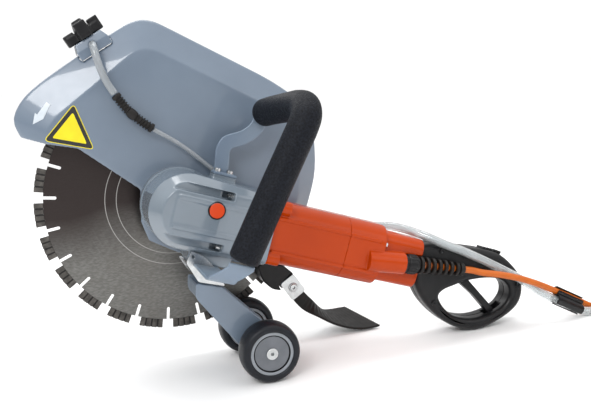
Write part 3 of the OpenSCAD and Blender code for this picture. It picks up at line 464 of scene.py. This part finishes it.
def new_piece(name, bm, matrix, paint, body, replaced=""):
    """Turns a bmesh in millimetres into a finished piece that rides on a body."""
    bmesh.ops.transform(bm, matrix=matrix, verts=bm.verts)
    bmesh.ops.recalc_face_normals(bm, faces=bm.faces)
    mesh = bpy.data.meshes.new(name)
    bm.to_mesh(mesh)
    bm.free()
    for face in mesh.polygons:
        face.use_smooth = True
    mesh.materials.append(PAINT[paint])
    piece = bpy.data.objects.new(name, mesh)
    bpy.context.scene.collection.objects.link(piece)
    if body:
        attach(piece, body)
    if replaced:
        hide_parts(*replaced.split())
    return piece


def bake_modifiers(piece):
    """Applies the piece's modifiers to its mesh."""
    graph = bpy.context.evaluated_depsgraph_get()
    graph.update()
    mesh = bpy.data.meshes.new_from_object(piece.evaluated_get(graph))
    piece.modifiers.clear()
    old = piece.data
    piece.data = mesh
    bpy.data.meshes.remove(old)


def rope(name, points, radius_mm, paint):
    """Curve object with a round section along points in metres."""
    data = bpy.data.curves.new(name, "CURVE")
    data.dimensions = "3D"
    data.bevel_depth = radius_mm * MM
    data.bevel_resolution = 4
    data.use_fill_caps = True
    spline = data.splines.new("POLY")
    spline.points.add(len(points) - 1)
    for spot, p in zip(spline.points, points):
        spot.co = (*p, 1)
    spline.use_smooth = True
    data.materials.append(PAINT[paint])
    piece = bpy.data.objects.new(name, data)
    bpy.context.scene.collection.objects.link(piece)
    return piece


# ------------------------------------------------------------------ cable and hose
CABLE_D = 9
HOSE_D = 12
CABLE_REST = FLOOR + CABLE_D / 2 + 0.1
HOSE_REST = FLOOR + HOSE_D / 2 + 0.1
RELIEF_S = 56           # where the strain relief starts along the gland's X axis
RELIEF_LEN = 70
cable_exit = LEVEL.inverted() @ (GLAND @ Vector((RELIEF_S + RELIEF_LEN, 0, 0)))
cable_way = (LEVEL.inverted() @ GLAND).to_3x3() @ Vector((1, 0, 0))
CABLE_ROUTE = [cable_exit, cable_exit + 14 * cable_way.normalized(), (394, -121.5, -129.5),
               (422, -124, -136), (450, -124.5, -145), (480, -123, -158), (508, -120, -172),
               (532, -117.5, -184), (556, -115, -197), (570, -113.5, -204.5), (585, -111, -210.5),
               (604, -104, CABLE_REST), (624, -95, CABLE_REST), (642, -89.5, CABLE_REST),
               (660, -88, CABLE_REST)]
HOSE_ROUTE = [(249, -38, -63), (262, -43, -62.2), (277, -53, -61.1), (292, -66, -62.4),
              (304, -80, -65.7), (316, -94, -70.9), (328, -105, -77), (340, -112, -84),
              (365, -114, -96), (394, -113.5, -111.5), (426, -112.5, -130), (452, -112, -146),
              (474, -112.5, -161.5), (490, -115.5, -174), (505, -121.5, -183.5), (520, -124, -191),
              (536, -122.3, -199.2), (551, -120.5, -207), (566, -122.5, HOSE_REST),
              (582, -131.5, HOSE_REST), (596, -147, HOSE_REST), (602, -170, HOSE_REST),
              (602, -200, HOSE_REST), (602, -230, HOSE_REST), (602, -260, HOSE_REST),
              (602, -288, HOSE_REST)]
CABLE_COIL = (684, -152)
HOSE_COIL = (525, -318)
HOSE_BORE_R = 4.1
TURN_STEPS = 28
CLIMB = 0.22            # part of a turn in which a winding climbs to the next layer


def wound(at, start_deg, layers):
    """Clockwise coil of layers (height, first radius, last radius, turns), each on the last."""
    out = []
    angle = start_deg
    for i, (height, r0, r1, turns) in enumerate(layers):
        steps = round(turns * TURN_STEPS)
        below = layers[i - 1][0] if i else height
        for k in range(steps + (i == len(layers) - 1)):
            t = k / steps
            rise = min(t * turns / CLIMB, 1)
            rise = rise * rise * (3 - 2 * rise)
            a = math.radians(angle - 360 * turns * t)
            r = r0 + (r1 - r0) * t
            out.append(Vector((at[0] + r * math.cos(a), at[1] + r * math.sin(a),
                               FLOOR + below + (height - below) * rise)))
        angle -= 360 * turns
    return out


def cord_points(route, steps, coil, tail):
    """Route, coil and tail as one line in metres, without doubled points."""
    line = open_curve(route, steps) + coil + open_curve([coil[-1]] + tail, 5)[1:]
    line = [LEVEL @ p for p in line]
    return [p for i, p in enumerate(line) if i == 0 or (p - line[i - 1]).length > 0.0005]


def build_cords():
    turns = 2.5625      # four layers of these end where the tail starts
    coil = wound(CABLE_COIL, 90, [(4.6, 64, 40, turns), (13.7, 40, 64, turns),
                                  (22.8, 64, 40, turns), (31.9, 40, 64, turns)])
    tail = [(748.5, -170, FLOOR + 31), (747, -190, FLOOR + 28), (741, -212, FLOOR + 24.5),
            (728, -232, FLOOR + 21.5), (712, -242.5, FLOOR + 20.2), (702, -245, FLOOR + 20)]
    line = cord_points(CABLE_ROUTE, 5, coil, tail)
    cable = rope("mains_cable_run", line, CABLE_D / 2, "cable_orange")
    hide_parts("mains_cable", "cable_coil")
    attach(cable, "machine")

    coil = wound(HOSE_COIL, 0, [(6.1, 77, 57.2, 1.6), (18.5, 57.2, 77, 1.65)])
    tail = [(500, -395, FLOOR + 17.2), (488, -395, FLOOR + 15), (476, -395, FLOOR + 14.1)]
    line = cord_points(HOSE_ROUTE, 4, coil, tail)
    tube = hose_skin([LEVEL.inverted() @ p for p in line], HOSE_D / 2, HOSE_BORE_R, 24)
    hose = new_piece("supply_hose_run", tube, LEVEL, "clear_hose", "machine",
                     "supply_hose hose_coil")


# ------------------------------------------------------------------ solids for added details
def add_ring(bm, points):
    return [bm.verts.new(q) for q in points]


def skin(bm, rings, closed_ends=True):
    """Joins rings of equal length into one closed surface."""
    n = len(rings[0])
    for low, high in zip(rings, rings[1:]):
        for k in range(n):
            bm.faces.new((low[k], low[(k + 1) % n], high[(k + 1) % n], high[k]))
    if closed_ends:
        bm.faces.new(rings[0][::-1])
        bm.faces.new(rings[-1])
    return bm


def merge(bm, solid):
    """Moves everything of one bmesh into another."""
    extra = bpy.data.meshes.new("extra")
    solid.to_mesh(extra)
    solid.free()
    bm.from_mesh(extra)
    bpy.data.meshes.remove(extra)


def lathe(bm, profile, sides, axis="X", at=(0, 0, 0), closed=False):
    """Turned solid of (place along the axis, radius) points. A closed profile is a hollow ring."""
    origin = Vector(at)
    rings = []
    for along_axis, radius in profile:
        ring = []
        for k in range(sides):
            c, d = math.cos(k * math.tau / sides) * radius, math.sin(k * math.tau / sides) * radius
            ring.append(origin + Vector({"X": (along_axis, c, d), "Y": (d, along_axis, c),
                                         "Z": (c, d, along_axis)}[axis]))
        rings.append(add_ring(bm, ring))
    if closed:
        rings.append(rings[0])
    return skin(bm, rings, not closed)


def prism(bm, outline, y0, y1):
    """Outline of (x, z) points drawn out from y0 to y1."""
    return skin(bm, [add_ring(bm, [(x, y, z) for x, z in outline]) for y in (y0, y1)])


def block(bm, low, high):
    """Box between two corners."""
    return prism(bm, [(low[0], low[2]), (high[0], low[2]), (high[0], high[2]), (low[0], high[2])],
                 low[1], high[1])


def spaced(points, gap):
    """The same line with points about gap apart."""
    out = [Vector(points[0])]
    for a, b in zip(points, points[1:]):
        count = max(1, round((Vector(b) - Vector(a)).length / gap))
        out += [Vector(a).lerp(Vector(b), (k + 1) / count) for k in range(count)]
    return out


def sweep(bm, path, section):
    """Closed tube along path. section(i) gives the ring's (across, up) points at point i."""
    rings = []
    side = None
    for i, here in enumerate(path):
        ahead = (path[min(i + 1, len(path) - 1)] - path[max(i - 1, 0)]).normalized()
        if side is None:
            side = ahead.orthogonal().normalized()
        side = (side - ahead * side.dot(ahead)).normalized()
        up = ahead.cross(side)
        rings.append(add_ring(bm, [here + side * u + up * v for u, v in section(i)]))
    return skin(bm, rings)


def hose_skin(path, outer, inner, sides):
    """Hollow tube of clear hose, with its bore."""
    bm = bmesh.new()
    for radius in (outer, inner):
        sweep(bm, path, lambda i, r=radius: circle(r, sides))
    caps = [f for f in bm.faces if len(f.verts) == sides]
    bmesh.ops.delete(bm, geom=caps, context="FACES_ONLY")
    loops = [e for e in bm.edges if e.is_boundary]
    for tip in (path[0], path[-1]):
        near = [e for e in loops if (e.verts[0].co - tip).length < outer * 1.2]
        bmesh.ops.bridge_loops(bm, edges=near)
    return bm


def circle(radius, sides):
    return [(radius * math.cos(k * math.tau / sides), radius * math.sin(k * math.tau / sides))
            for k in range(sides)]


def sharpen(piece):
    """Keeps edges above 35 degrees crisp in a smoothly shaded piece."""
    piece.data.set_sharp_from_angle(angle=math.radians(35))


def carve(piece, solids):
    """Cuts closed solids, each a (bmesh in mm, its frame), out of a piece."""
    cutters = []
    for solid, matrix in solids:
        bmesh.ops.transform(solid, matrix=matrix, verts=solid.verts)
        bmesh.ops.recalc_face_normals(solid, faces=solid.faces)
        mesh = bpy.data.meshes.new("cutter")
        solid.to_mesh(mesh)
        solid.free()
        cutter = bpy.data.objects.new("cutter", mesh)
        bpy.context.scene.collection.objects.link(cutter)
        step = piece.modifiers.new("cut", "BOOLEAN")
        step.operation = "DIFFERENCE"
        step.object = cutter
        cutters.append(cutter)
    bake_modifiers(piece)
    for cutter in cutters:
        bpy.data.objects.remove(cutter)
    sharpen(piece)


def soften(name, node_names, voxel_mm, passes, paint, body, added=()):
    """A cast or moulded piece: CAD solids with details, each a (bmesh in mm, its frame), fused,
    with soft edges."""
    bm = bmesh.new()
    for node_name in node_names.split():
        bm.from_mesh(nodes[node_name].data)
    bmesh.ops.remove_doubles(bm, verts=bm.verts, dist=1e-6)
    for solid, matrix in added:
        bmesh.ops.transform(solid, matrix=matrix, verts=solid.verts)
        bmesh.ops.recalc_face_normals(solid, faces=solid.faces)
        merge(bm, solid)
    piece = new_piece(name, bm, Matrix.Identity(4), paint, None)
    melt = piece.modifiers.new("melt", "REMESH")
    melt.mode = "VOXEL"
    melt.voxel_size = voxel_mm * MM
    melt.use_smooth_shade = True
    if passes:
        ease = piece.modifiers.new("ease", "SMOOTH")
        ease.factor = 0.5
        ease.iterations = passes
    bake_modifiers(piece)
    piece.data.materials.clear()
    piece.data.materials.append(PAINT[paint])
    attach(piece, body)
    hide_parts(*node_names.split())


# ------------------------------------------------------------------ castings and mouldings
BUTTON_AT = (29, 0, 11.5)       # middle of the spindle lock button
ROOT_Y = -118                   # where the gearbox panel starts, inside the casting
STRIP_HALF = 16                 # half width of the strip under the casings' top wall


def gearbox_panel():
    """Raised panel of the near flank, with a rib along each groove."""
    # prisms are drawn out along Y, and here they have to run along Z
    swap = MACHINE @ Matrix(((1, 0, 0, 0), (0, 0, 1, 0), (0, 1, 0, 0), (0, 0, 0, 1)))
    added = []
    for low, high, proud in ((-20, 21, 1.0), (15.5, 21, 2.2), (-20, -14.5, 2.2)):
        flank = [(-24 + 2 * proud, -133), (-22 + 2 * proud, -136 - proud), (34, -136 - proud),
                 (106, -127 - proud), (106, ROOT_Y), (-20, ROOT_Y)]
        added.append((prism(bmesh.new(), flank, low, high), swap))
    return added


def build_flap_clamp():
    """Rounded plate with a socket head screw."""
    outline = rounded_corners([(-15, -11.5), (15, -11.5), (15, 11.5), (-15, 11.5)], 4)
    plate = prism(bmesh.new(), outline, -3, 0)
    lathe(plate, [(-2.9, 2.3), (-2.9, 6.6), (-3.7, 6.4), (-4, 5.8), (-4, 5), (-5, 4.9), (-5.4, 4.4),
                  (-5.4, 2.3)], 48, "Y", closed=True)
    sharpen(new_piece("flap_clamp_plate", plate, CLAMP, "zinc", "guard", "flap_clamp"))


def build_castings():
    soften("guard_casting", "guard_shell", 1.2, 22, "guard_paint", "guard")
    soften("nozzle_casting", "nozzle_block", 0.7, 4, "guard_paint", "guard")
    soften("gearbox_casting", "gearbox_housing", 0.85, 8, "cast_paint", "machine",
           gearbox_panel())
    # painted shade: a black ring fills the gap around the spindle lock button, standing in for the
    # shade in that gap
    gap_shade = lathe(bmesh.new(), [(-137.8, 9.2), (-138.3, 9.7), (-138.2, 10.4), (-137.6, 10.8),
                               (-130, 10.8), (-130, 9.2)], 64, "Y", BUTTON_AT, closed=True)
    new_piece("button_gap_shade", gap_shade, MACHINE, "black_rubber", "machine")
    build_flap_clamp()
    # a strip under the thin top wall keeps it whole
    for name, node_name, start, end in (("front_casing", "motor_housing", 107.5, 210),
                                        ("rear_casing", "rear_housing", 210, 240)):
        strip = block(bmesh.new(), (start, -STRIP_HALF, 35.7), (end, STRIP_HALF, 37))
        soften(name, node_name, 0.65, 7, "orange_casing", "machine", [(strip, MOTOR)])
    soften("handle_plate", "bail_plate", 0.7, 4, "plate_paint", "machine")
    soften("grip_strap", "bail_strap", 0.7, 4, "plate_paint", "machine")
    soften("wheel_fork", "wheel_arm", 0.8, 4, "guard_paint", "machine")
    soften("flap_mount", "flap_holder", 0.9, 6, "black_plastic", "guard")
    soften("rubber_flap", "flap", 0.8, 6, "black_rubber", "guard")
    # the valve knob's three lobes and its collar
    lobes = [(block(bmesh.new(), low, high), NOZZLE)
             for low, high in (((-25, -9, 13.8), (-11, 7, 29)), ((11, -9, 13.8), (25, 7, 32)),
                               ((-8, -23, 13.8), (8, -8, 35)))]
    lobes.append((lathe(bmesh.new(), [(13.8, 12.5), (14.4, 13.5), (17, 13.5), (18.5, 11)], 48, "Z",
                        (0, -2, 0)), NOZZLE))
    soften("valve_knob", "nozzle_knob", 0.7, 30, "black_plastic", "water_knob", lobes)
    soften("trigger_bar", "trigger_lever", 0.6, 5, "black_plastic", "trigger")


# ------------------------------------------------------------------ foam grip
FOAM_R = 17.75
BEND = [(83, -170, 154), (83.5, -195, 153), (82, -212, 142), (79, -217, 126)]
GRIP = ([(77, -60, 140), (78.5, -85, 144), (81, -130, 149.5)] + open_curve(BEND, 10)
        + [(66, -217, 55), (52, -215, -30)])
FOAM_EDGE = 6               # length over which each end is rounded


def build_foam():
    path = spaced(GRIP, 2.2)
    lengths = [0.0]
    for a, b in zip(path, path[1:]):
        lengths.append(lengths[-1] + (b - a).length)

    def section(i):
        end = min(lengths[i], lengths[-1] - lengths[i])
        radius = FOAM_R
        if end < FOAM_EDGE:
            radius -= FOAM_EDGE * 0.7 * (1 - math.sqrt(max(0, 1 - (1 - end / FOAM_EDGE) ** 2)))
        return circle(radius, 56)

    foam = new_piece("foam_sleeve", sweep(bmesh.new(), path, section), MACHINE, "grip_foam",
                     "machine", "foam_grip")


# ------------------------------------------------------------------ wheels
NEAR_MID, FAR_MID = -141, -27
WHEEL_R, WHEEL_HALF = 37.5, 16.5


def build_wheels():
    """Tyres with a crowned tread."""
    shoulder = [(27, 15), (28.3, 16.2), (30, WHEEL_HALF), (32.5, 16), (34.6, 14.6), (36, 12),
                (36.9, 8), (37.4, 4), (WHEEL_R, 0)]
    curve = open_curve([(r, y, 0) for r, y in shoulder], 4)
    half = [(q.y, q.x) for q in curve]
    profile = half + [(-y, r) for y, r in half[-2::-1]]
    for side, mid in (("near", NEAR_MID), ("far", FAR_MID)):
        tyre = lathe(bmesh.new(), profile, 128, "Y", (AXLE[0], mid, AXLE[1]), closed=True)
        new_piece(f"{side}_wheel_tyre", tyre, LEVEL, "tyre", f"{side}_wheel", f"{side}_tyre")


# ------------------------------------------------------------------ rear handle
HANDLE_OUTER = [(300, -120), (296, -104), (310, -88), (330, -84), (357, -89), (381, -96),
                (411, -104), (434, -114), (452, -130), (465, -149), (468, -171), (458, -192),
                (430, -208), (394, -216.5), (362, -208), (336, -190), (315, -166), (304, -143)]
HANDLE_INNER = [(336, -160), (343, -152), (358, -148), (380, -144), (408, -144), (432, -149),
                (445, -160), (446, -175), (434, -189), (412, -197), (386, -198.5), (360, -191),
                (344, -177)]
HANDLE_HALF = 19
OUTER_ROUND, INNER_ROUND = 9, 7.5
# outlines and half widths of the lock-off button's well and of the trigger's two slots
HANDLE_WELLS = [([(403, -114), (433.3, -130.1), (449.5, -99.7), (419.1, -83.5)], 8.7),
                ([(366, -150), (406, -150), (412, -128), (366, -118)], 7),
                ([(404, -188), (438, -184), (437, -203), (428, -209.5), (418, -209.5)], 7)]
NECK_END = 322          # the handle starts behind the end face of the neck


def inset(outline, amount):
    """Outline moved sideways by amount, to the left of its direction."""
    n = len(outline)
    out = []
    for i, q in enumerate(outline):
        run = outline[(i + 1) % n] - outline[i - 1]
        out.append(q + Vector((-run.y, run.x)).normalized() * amount)
    return out


def smooth_outline(points):
    """Closed curve in the plane, always in the same direction."""
    line = [q.to_2d() for q in closed_curve([(x, z, 0) for x, z in points], 7)]
    if sum(a.cross(b) for a, b in zip(line, line[1:])) > 0:
        line.reverse()
    return line


def build_handle():
    outer, inner = smooth_outline(HANDLE_OUTER), smooth_outline(HANDLE_INNER)
    turn = Matrix.Rotation(TILT, 4, "Y")
    for side, name in ((-1, "near"), (1, "far")):
        bm = bmesh.new()
        loops = []
        for outline, sign, round_r in ((outer, -1, OUTER_ROUND), (inner, 1, INNER_ROUND)):
            steps = [(0.25, 1.0), (1.1, 0.1), (2.2, 0)]     # the groove where the halves meet
            steps += [(HANDLE_HALF - round_r + round_r * math.sin(math.radians(a)),
                       round_r * (1 - math.cos(math.radians(a)))) for a in range(0, 91, 10)]
            rings = []
            for depth, pull in steps:
                line = inset(outline, sign * pull)
                rings.append(add_ring(bm, [(q.x, side * depth, q.y) for q in line]))
            skin(bm, rings, closed_ends=False)
            loops.append((rings[0], rings[-1]))
        for first, last in ((loops[0][0], loops[1][0]), (loops[0][1], loops[1][1])):
            edges = []
            for ring in (first, last):
                for a, b in zip(ring, ring[1:] + ring[:1]):
                    edges.append(bm.edges.get((a, b)) or bm.edges.new((a, b)))
            bmesh.ops.triangle_fill(bm, edges=edges, use_beauty=True)
        bmesh.ops.transform(bm, matrix=Matrix.Translation((0, -MOTOR_OFF, 0)), verts=bm.verts)
        bmesh.ops.bisect_plane(bm, geom=bm.verts[:] + bm.edges[:] + bm.faces[:],
                               plane_co=turn @ Vector((NECK_END, 0, 0)),
                               plane_no=turn @ Vector((-1, 0, 0)), clear_outer=True)
        bmesh.ops.holes_fill(bm, edges=[e for e in bm.edges if e.is_boundary])
        half = new_piece(f"handle_half_{name}", bm, LEVEL, "black_plastic", "machine",
                         f"handle_shell_{name}")
        carve(half, [(prism(bmesh.new(), well, -MOTOR_OFF - width, -MOTOR_OFF + width), LEVEL)
                     for well, width in HANDLE_WELLS])


# ------------------------------------------------------------------ cable gland and strain relief
RIBS = 18
RIB_R = 12.3            # radius of the circle that the nut's ribs stand on


def build_gland_nut():
    bm = bmesh.new()
    lathe(bm, [(22, 9), (34.6, 9), (35, 11.6), (35.6, 12.4), (37.4, 12.4), (38, 11.8), (38.2, 10.9),
               (39.8, 10.9), (40, 11.8), (40.6, 12.5), (52, 12.5), (55, 11.4), (56, 9.6), (56, 5),
               (22, 5)], 72, closed=True)
    for y, z in circle(RIB_R, RIBS):
        merge(bm, lathe(bmesh.new(), [(42, 0.9), (42.6, 1.1), (51, 1.1), (52.4, 0.5)], 8,
                        at=(0, y, z)))
    new_piece("gland_nut", bm, GLAND, "black_plastic", "machine", "cable_gland")


def build_relief():
    """Open rings on two bars, around a stub of cable that reaches into the gland."""
    bm = bmesh.new()
    bore = CABLE_D / 2 + 0.15
    lathe(bm, [(RELIEF_S, bore), (RELIEF_S, 9), (RELIEF_S + 1.8, 9), (RELIEF_S + 1.8, bore)], 48,
          closed=True)
    for k in range(7):
        top = 11.6 - 0.35 * k
        start = RELIEF_S + 2.4 + 9 * k
        lathe(bm, [(start, bore), (start - 0.2, top - 1.2), (start + 0.4, top), (start + 3.6, top),
                   (start + 4.4, top - 1), (start + 4.4, bore)], 48, closed=True)
    end = RELIEF_S + RELIEF_LEN
    lathe(bm, [(end - 7, bore), (end - 6.6, 8), (end - 5.8, 8.6), (end - 1, 8.4), (end, 7.2),
               (end, bore)], 48, closed=True)
    block(bm, (RELIEF_S, -3.2, -9), (end - 3, 3.2, -bore))
    block(bm, (RELIEF_S, bore, -3), (end - 3, 8, 3))
    new_piece("bend_relief", bm, GLAND, "black_rubber", "machine", "strain_relief")
    stub = lathe(bmesh.new(), [(40, CABLE_D / 2), (end - 0.1, CABLE_D / 2)], 32)
    new_piece("cable_in_relief", stub, GLAND, "cable_orange", "machine")


# ------------------------------------------------------------------ water line on the guard
HOSE_Y = -44
HOSE_PATH = [(-145.2, -22.2, 167), (-145.5, -30, 166.5), (-143, -39, 160), (-134, HOSE_Y, 144),
             (-121, HOSE_Y, 127), (-108, HOSE_Y, 115.2)]
COUPLER_PATH = [(-107, HOSE_Y, 114), (-88, HOSE_Y, 100), (-72, HOSE_Y, 92), (-53, HOSE_Y, 85)]
TUBE_PATH = [(-52, HOSE_Y, 84.6), (-20, HOSE_Y, 76), (6, HOSE_Y, 66), (22, HOSE_Y, 58.5),
             (31, HOSE_Y - 1, 54.5), (35, -45.7, 50.5), (35.2, -45.9, 47.2)]
NOZZLE_HOSE_R, NOZZLE_BORE_R = 4.7, 3.1
GUARD_TUBE_R, GUARD_BORE_R = 2.9, 1.8
COUPLER_STEP = 0.45
RIB_PITCH = 3.9


def build_water_line():
    hose = hose_skin(spaced(open_curve(HOSE_PATH, 10), 1.5), NOZZLE_HOSE_R, NOZZLE_BORE_R, 32)
    new_piece("nozzle_hose", hose, MACHINE, "nozzle_pvc", "guard", "guard_hose")
    path = spaced(open_curve(COUPLER_PATH, 10), COUPLER_STEP)
    total = (len(path) - 1) * COUPLER_STEP

    def ribbed(i):
        """A smooth bulge in the middle, a collar at each end, and ribs between them."""
        at = i * COUPLER_STEP
        if abs(at - total / 2) < 6:
            return circle(5.6 + 0.9 * math.cos((at - total / 2) / 12 * math.pi), 32)
        if min(at, total - at) < 3.5:
            return circle(6.0 if min(at, total - at) > 0.8 else 5.2, 32)
        return circle(4.5 + 1.8 * max(0, math.cos(at * math.tau / RIB_PITCH)) ** 0.5, 32)

    new_piece("ribbed_coupler", sweep(bmesh.new(), path, ribbed), MACHINE, "black_rubber",
              "guard", "hose_coupler")
    tube = hose_skin(spaced(open_curve(TUBE_PATH, 10), 1.2), GUARD_TUBE_R, GUARD_BORE_R, 24)
    piece = new_piece("water_tube", tube, MACHINE, "nozzle_pvc", None)
    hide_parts("guard_tube")
    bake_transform(piece)


# ------------------------------------------------------------------ signs on the guard
RAY_START_Y = -120          # outside the guard's near wall


def drape_sign(name, outline, surface, lift_mm, paint):
    """Thin sticker that lies on the guard's near side, lift_mm off it."""
    bm = bmesh.new()
    bm.faces.new([bm.verts.new((x, 0, z)) for x, z in outline])
    bmesh.ops.triangulate(bm, faces=bm.faces)
    for _ in range(3):
        bmesh.ops.subdivide_edges(bm, edges=bm.edges, cuts=1, use_grid_fill=True)
    towards = (MACHINE.to_3x3() @ Vector((0, 1, 0))).normalized()
    for vert in bm.verts:
        start = MACHINE @ Vector((vert.co.x, RAY_START_Y, vert.co.z))
        hit = surface.ray_cast(start, towards)[0]
        vert.co = hit - towards * lift_mm * MM
    new_piece(name, bm, Matrix.Identity(4), paint, "guard")


def rounded_corners(points, radius):
    """The outline with a curve at each corner that starts radius away from it."""
    out = []
    n = len(points)
    for i in range(n):
        here = Vector(points[i])
        before = (Vector(points[i - 1]) - here).normalized() * radius
        after = (Vector(points[(i + 1) % n]) - here).normalized() * radius
        for k in range(7):
            t = k / 6
            q = (1 - t) ** 2 * (here + before) + 2 * t * (1 - t) * here + t * t * (here + after)
            out.append((q.x, q.y))
    return out


def build_signs():
    """A plain warning triangle in three layers, and the arrow of the blade's turning direction."""
    corners = [(-151, 88), (-173, 40), (-118, 43.5)]
    middle = Vector([sum(c[k] for c in corners) / 3 for k in (0, 1)])

    def grown(scale):
        return [middle + (Vector(c) - middle) * scale for c in corners]

    surface = BVHTree.FromObject(bpy.data.objects["guard_casting"],
                                 bpy.context.evaluated_depsgraph_get())
    for sign, scale, corner, lift, paint in (("triangle_edge", 1.12, 7, 0.2, "yellow"),
                                             ("triangle_border", 1.06, 5, 0.35, "sign_black"),
                                             ("triangle_field", 0.76, 3, 0.5, "yellow")):
        drape_sign(sign, rounded_corners(grown(scale), corner), surface, lift, paint)
    shaft = [(-16, -2.8), (3, -2.8), (3, -6), (16, 0), (3, 6), (3, 2.8), (-16, 2.8)]
    at, turn = Vector((-186, 69)), math.radians(248)
    arrow = [(at.x + x * math.cos(turn) - z * math.sin(turn),
              at.y + x * math.sin(turn) + z * math.cos(turn)) for x, z in shaft]
    drape_sign("turn_arrow", arrow, surface, 0.3, "sign_white")


place_camera()
build_stage()
build_cords()
build_castings()
build_foam()
build_wheels()
build_handle()
build_gland_nut()
build_relief()
build_water_line()
build_signs()
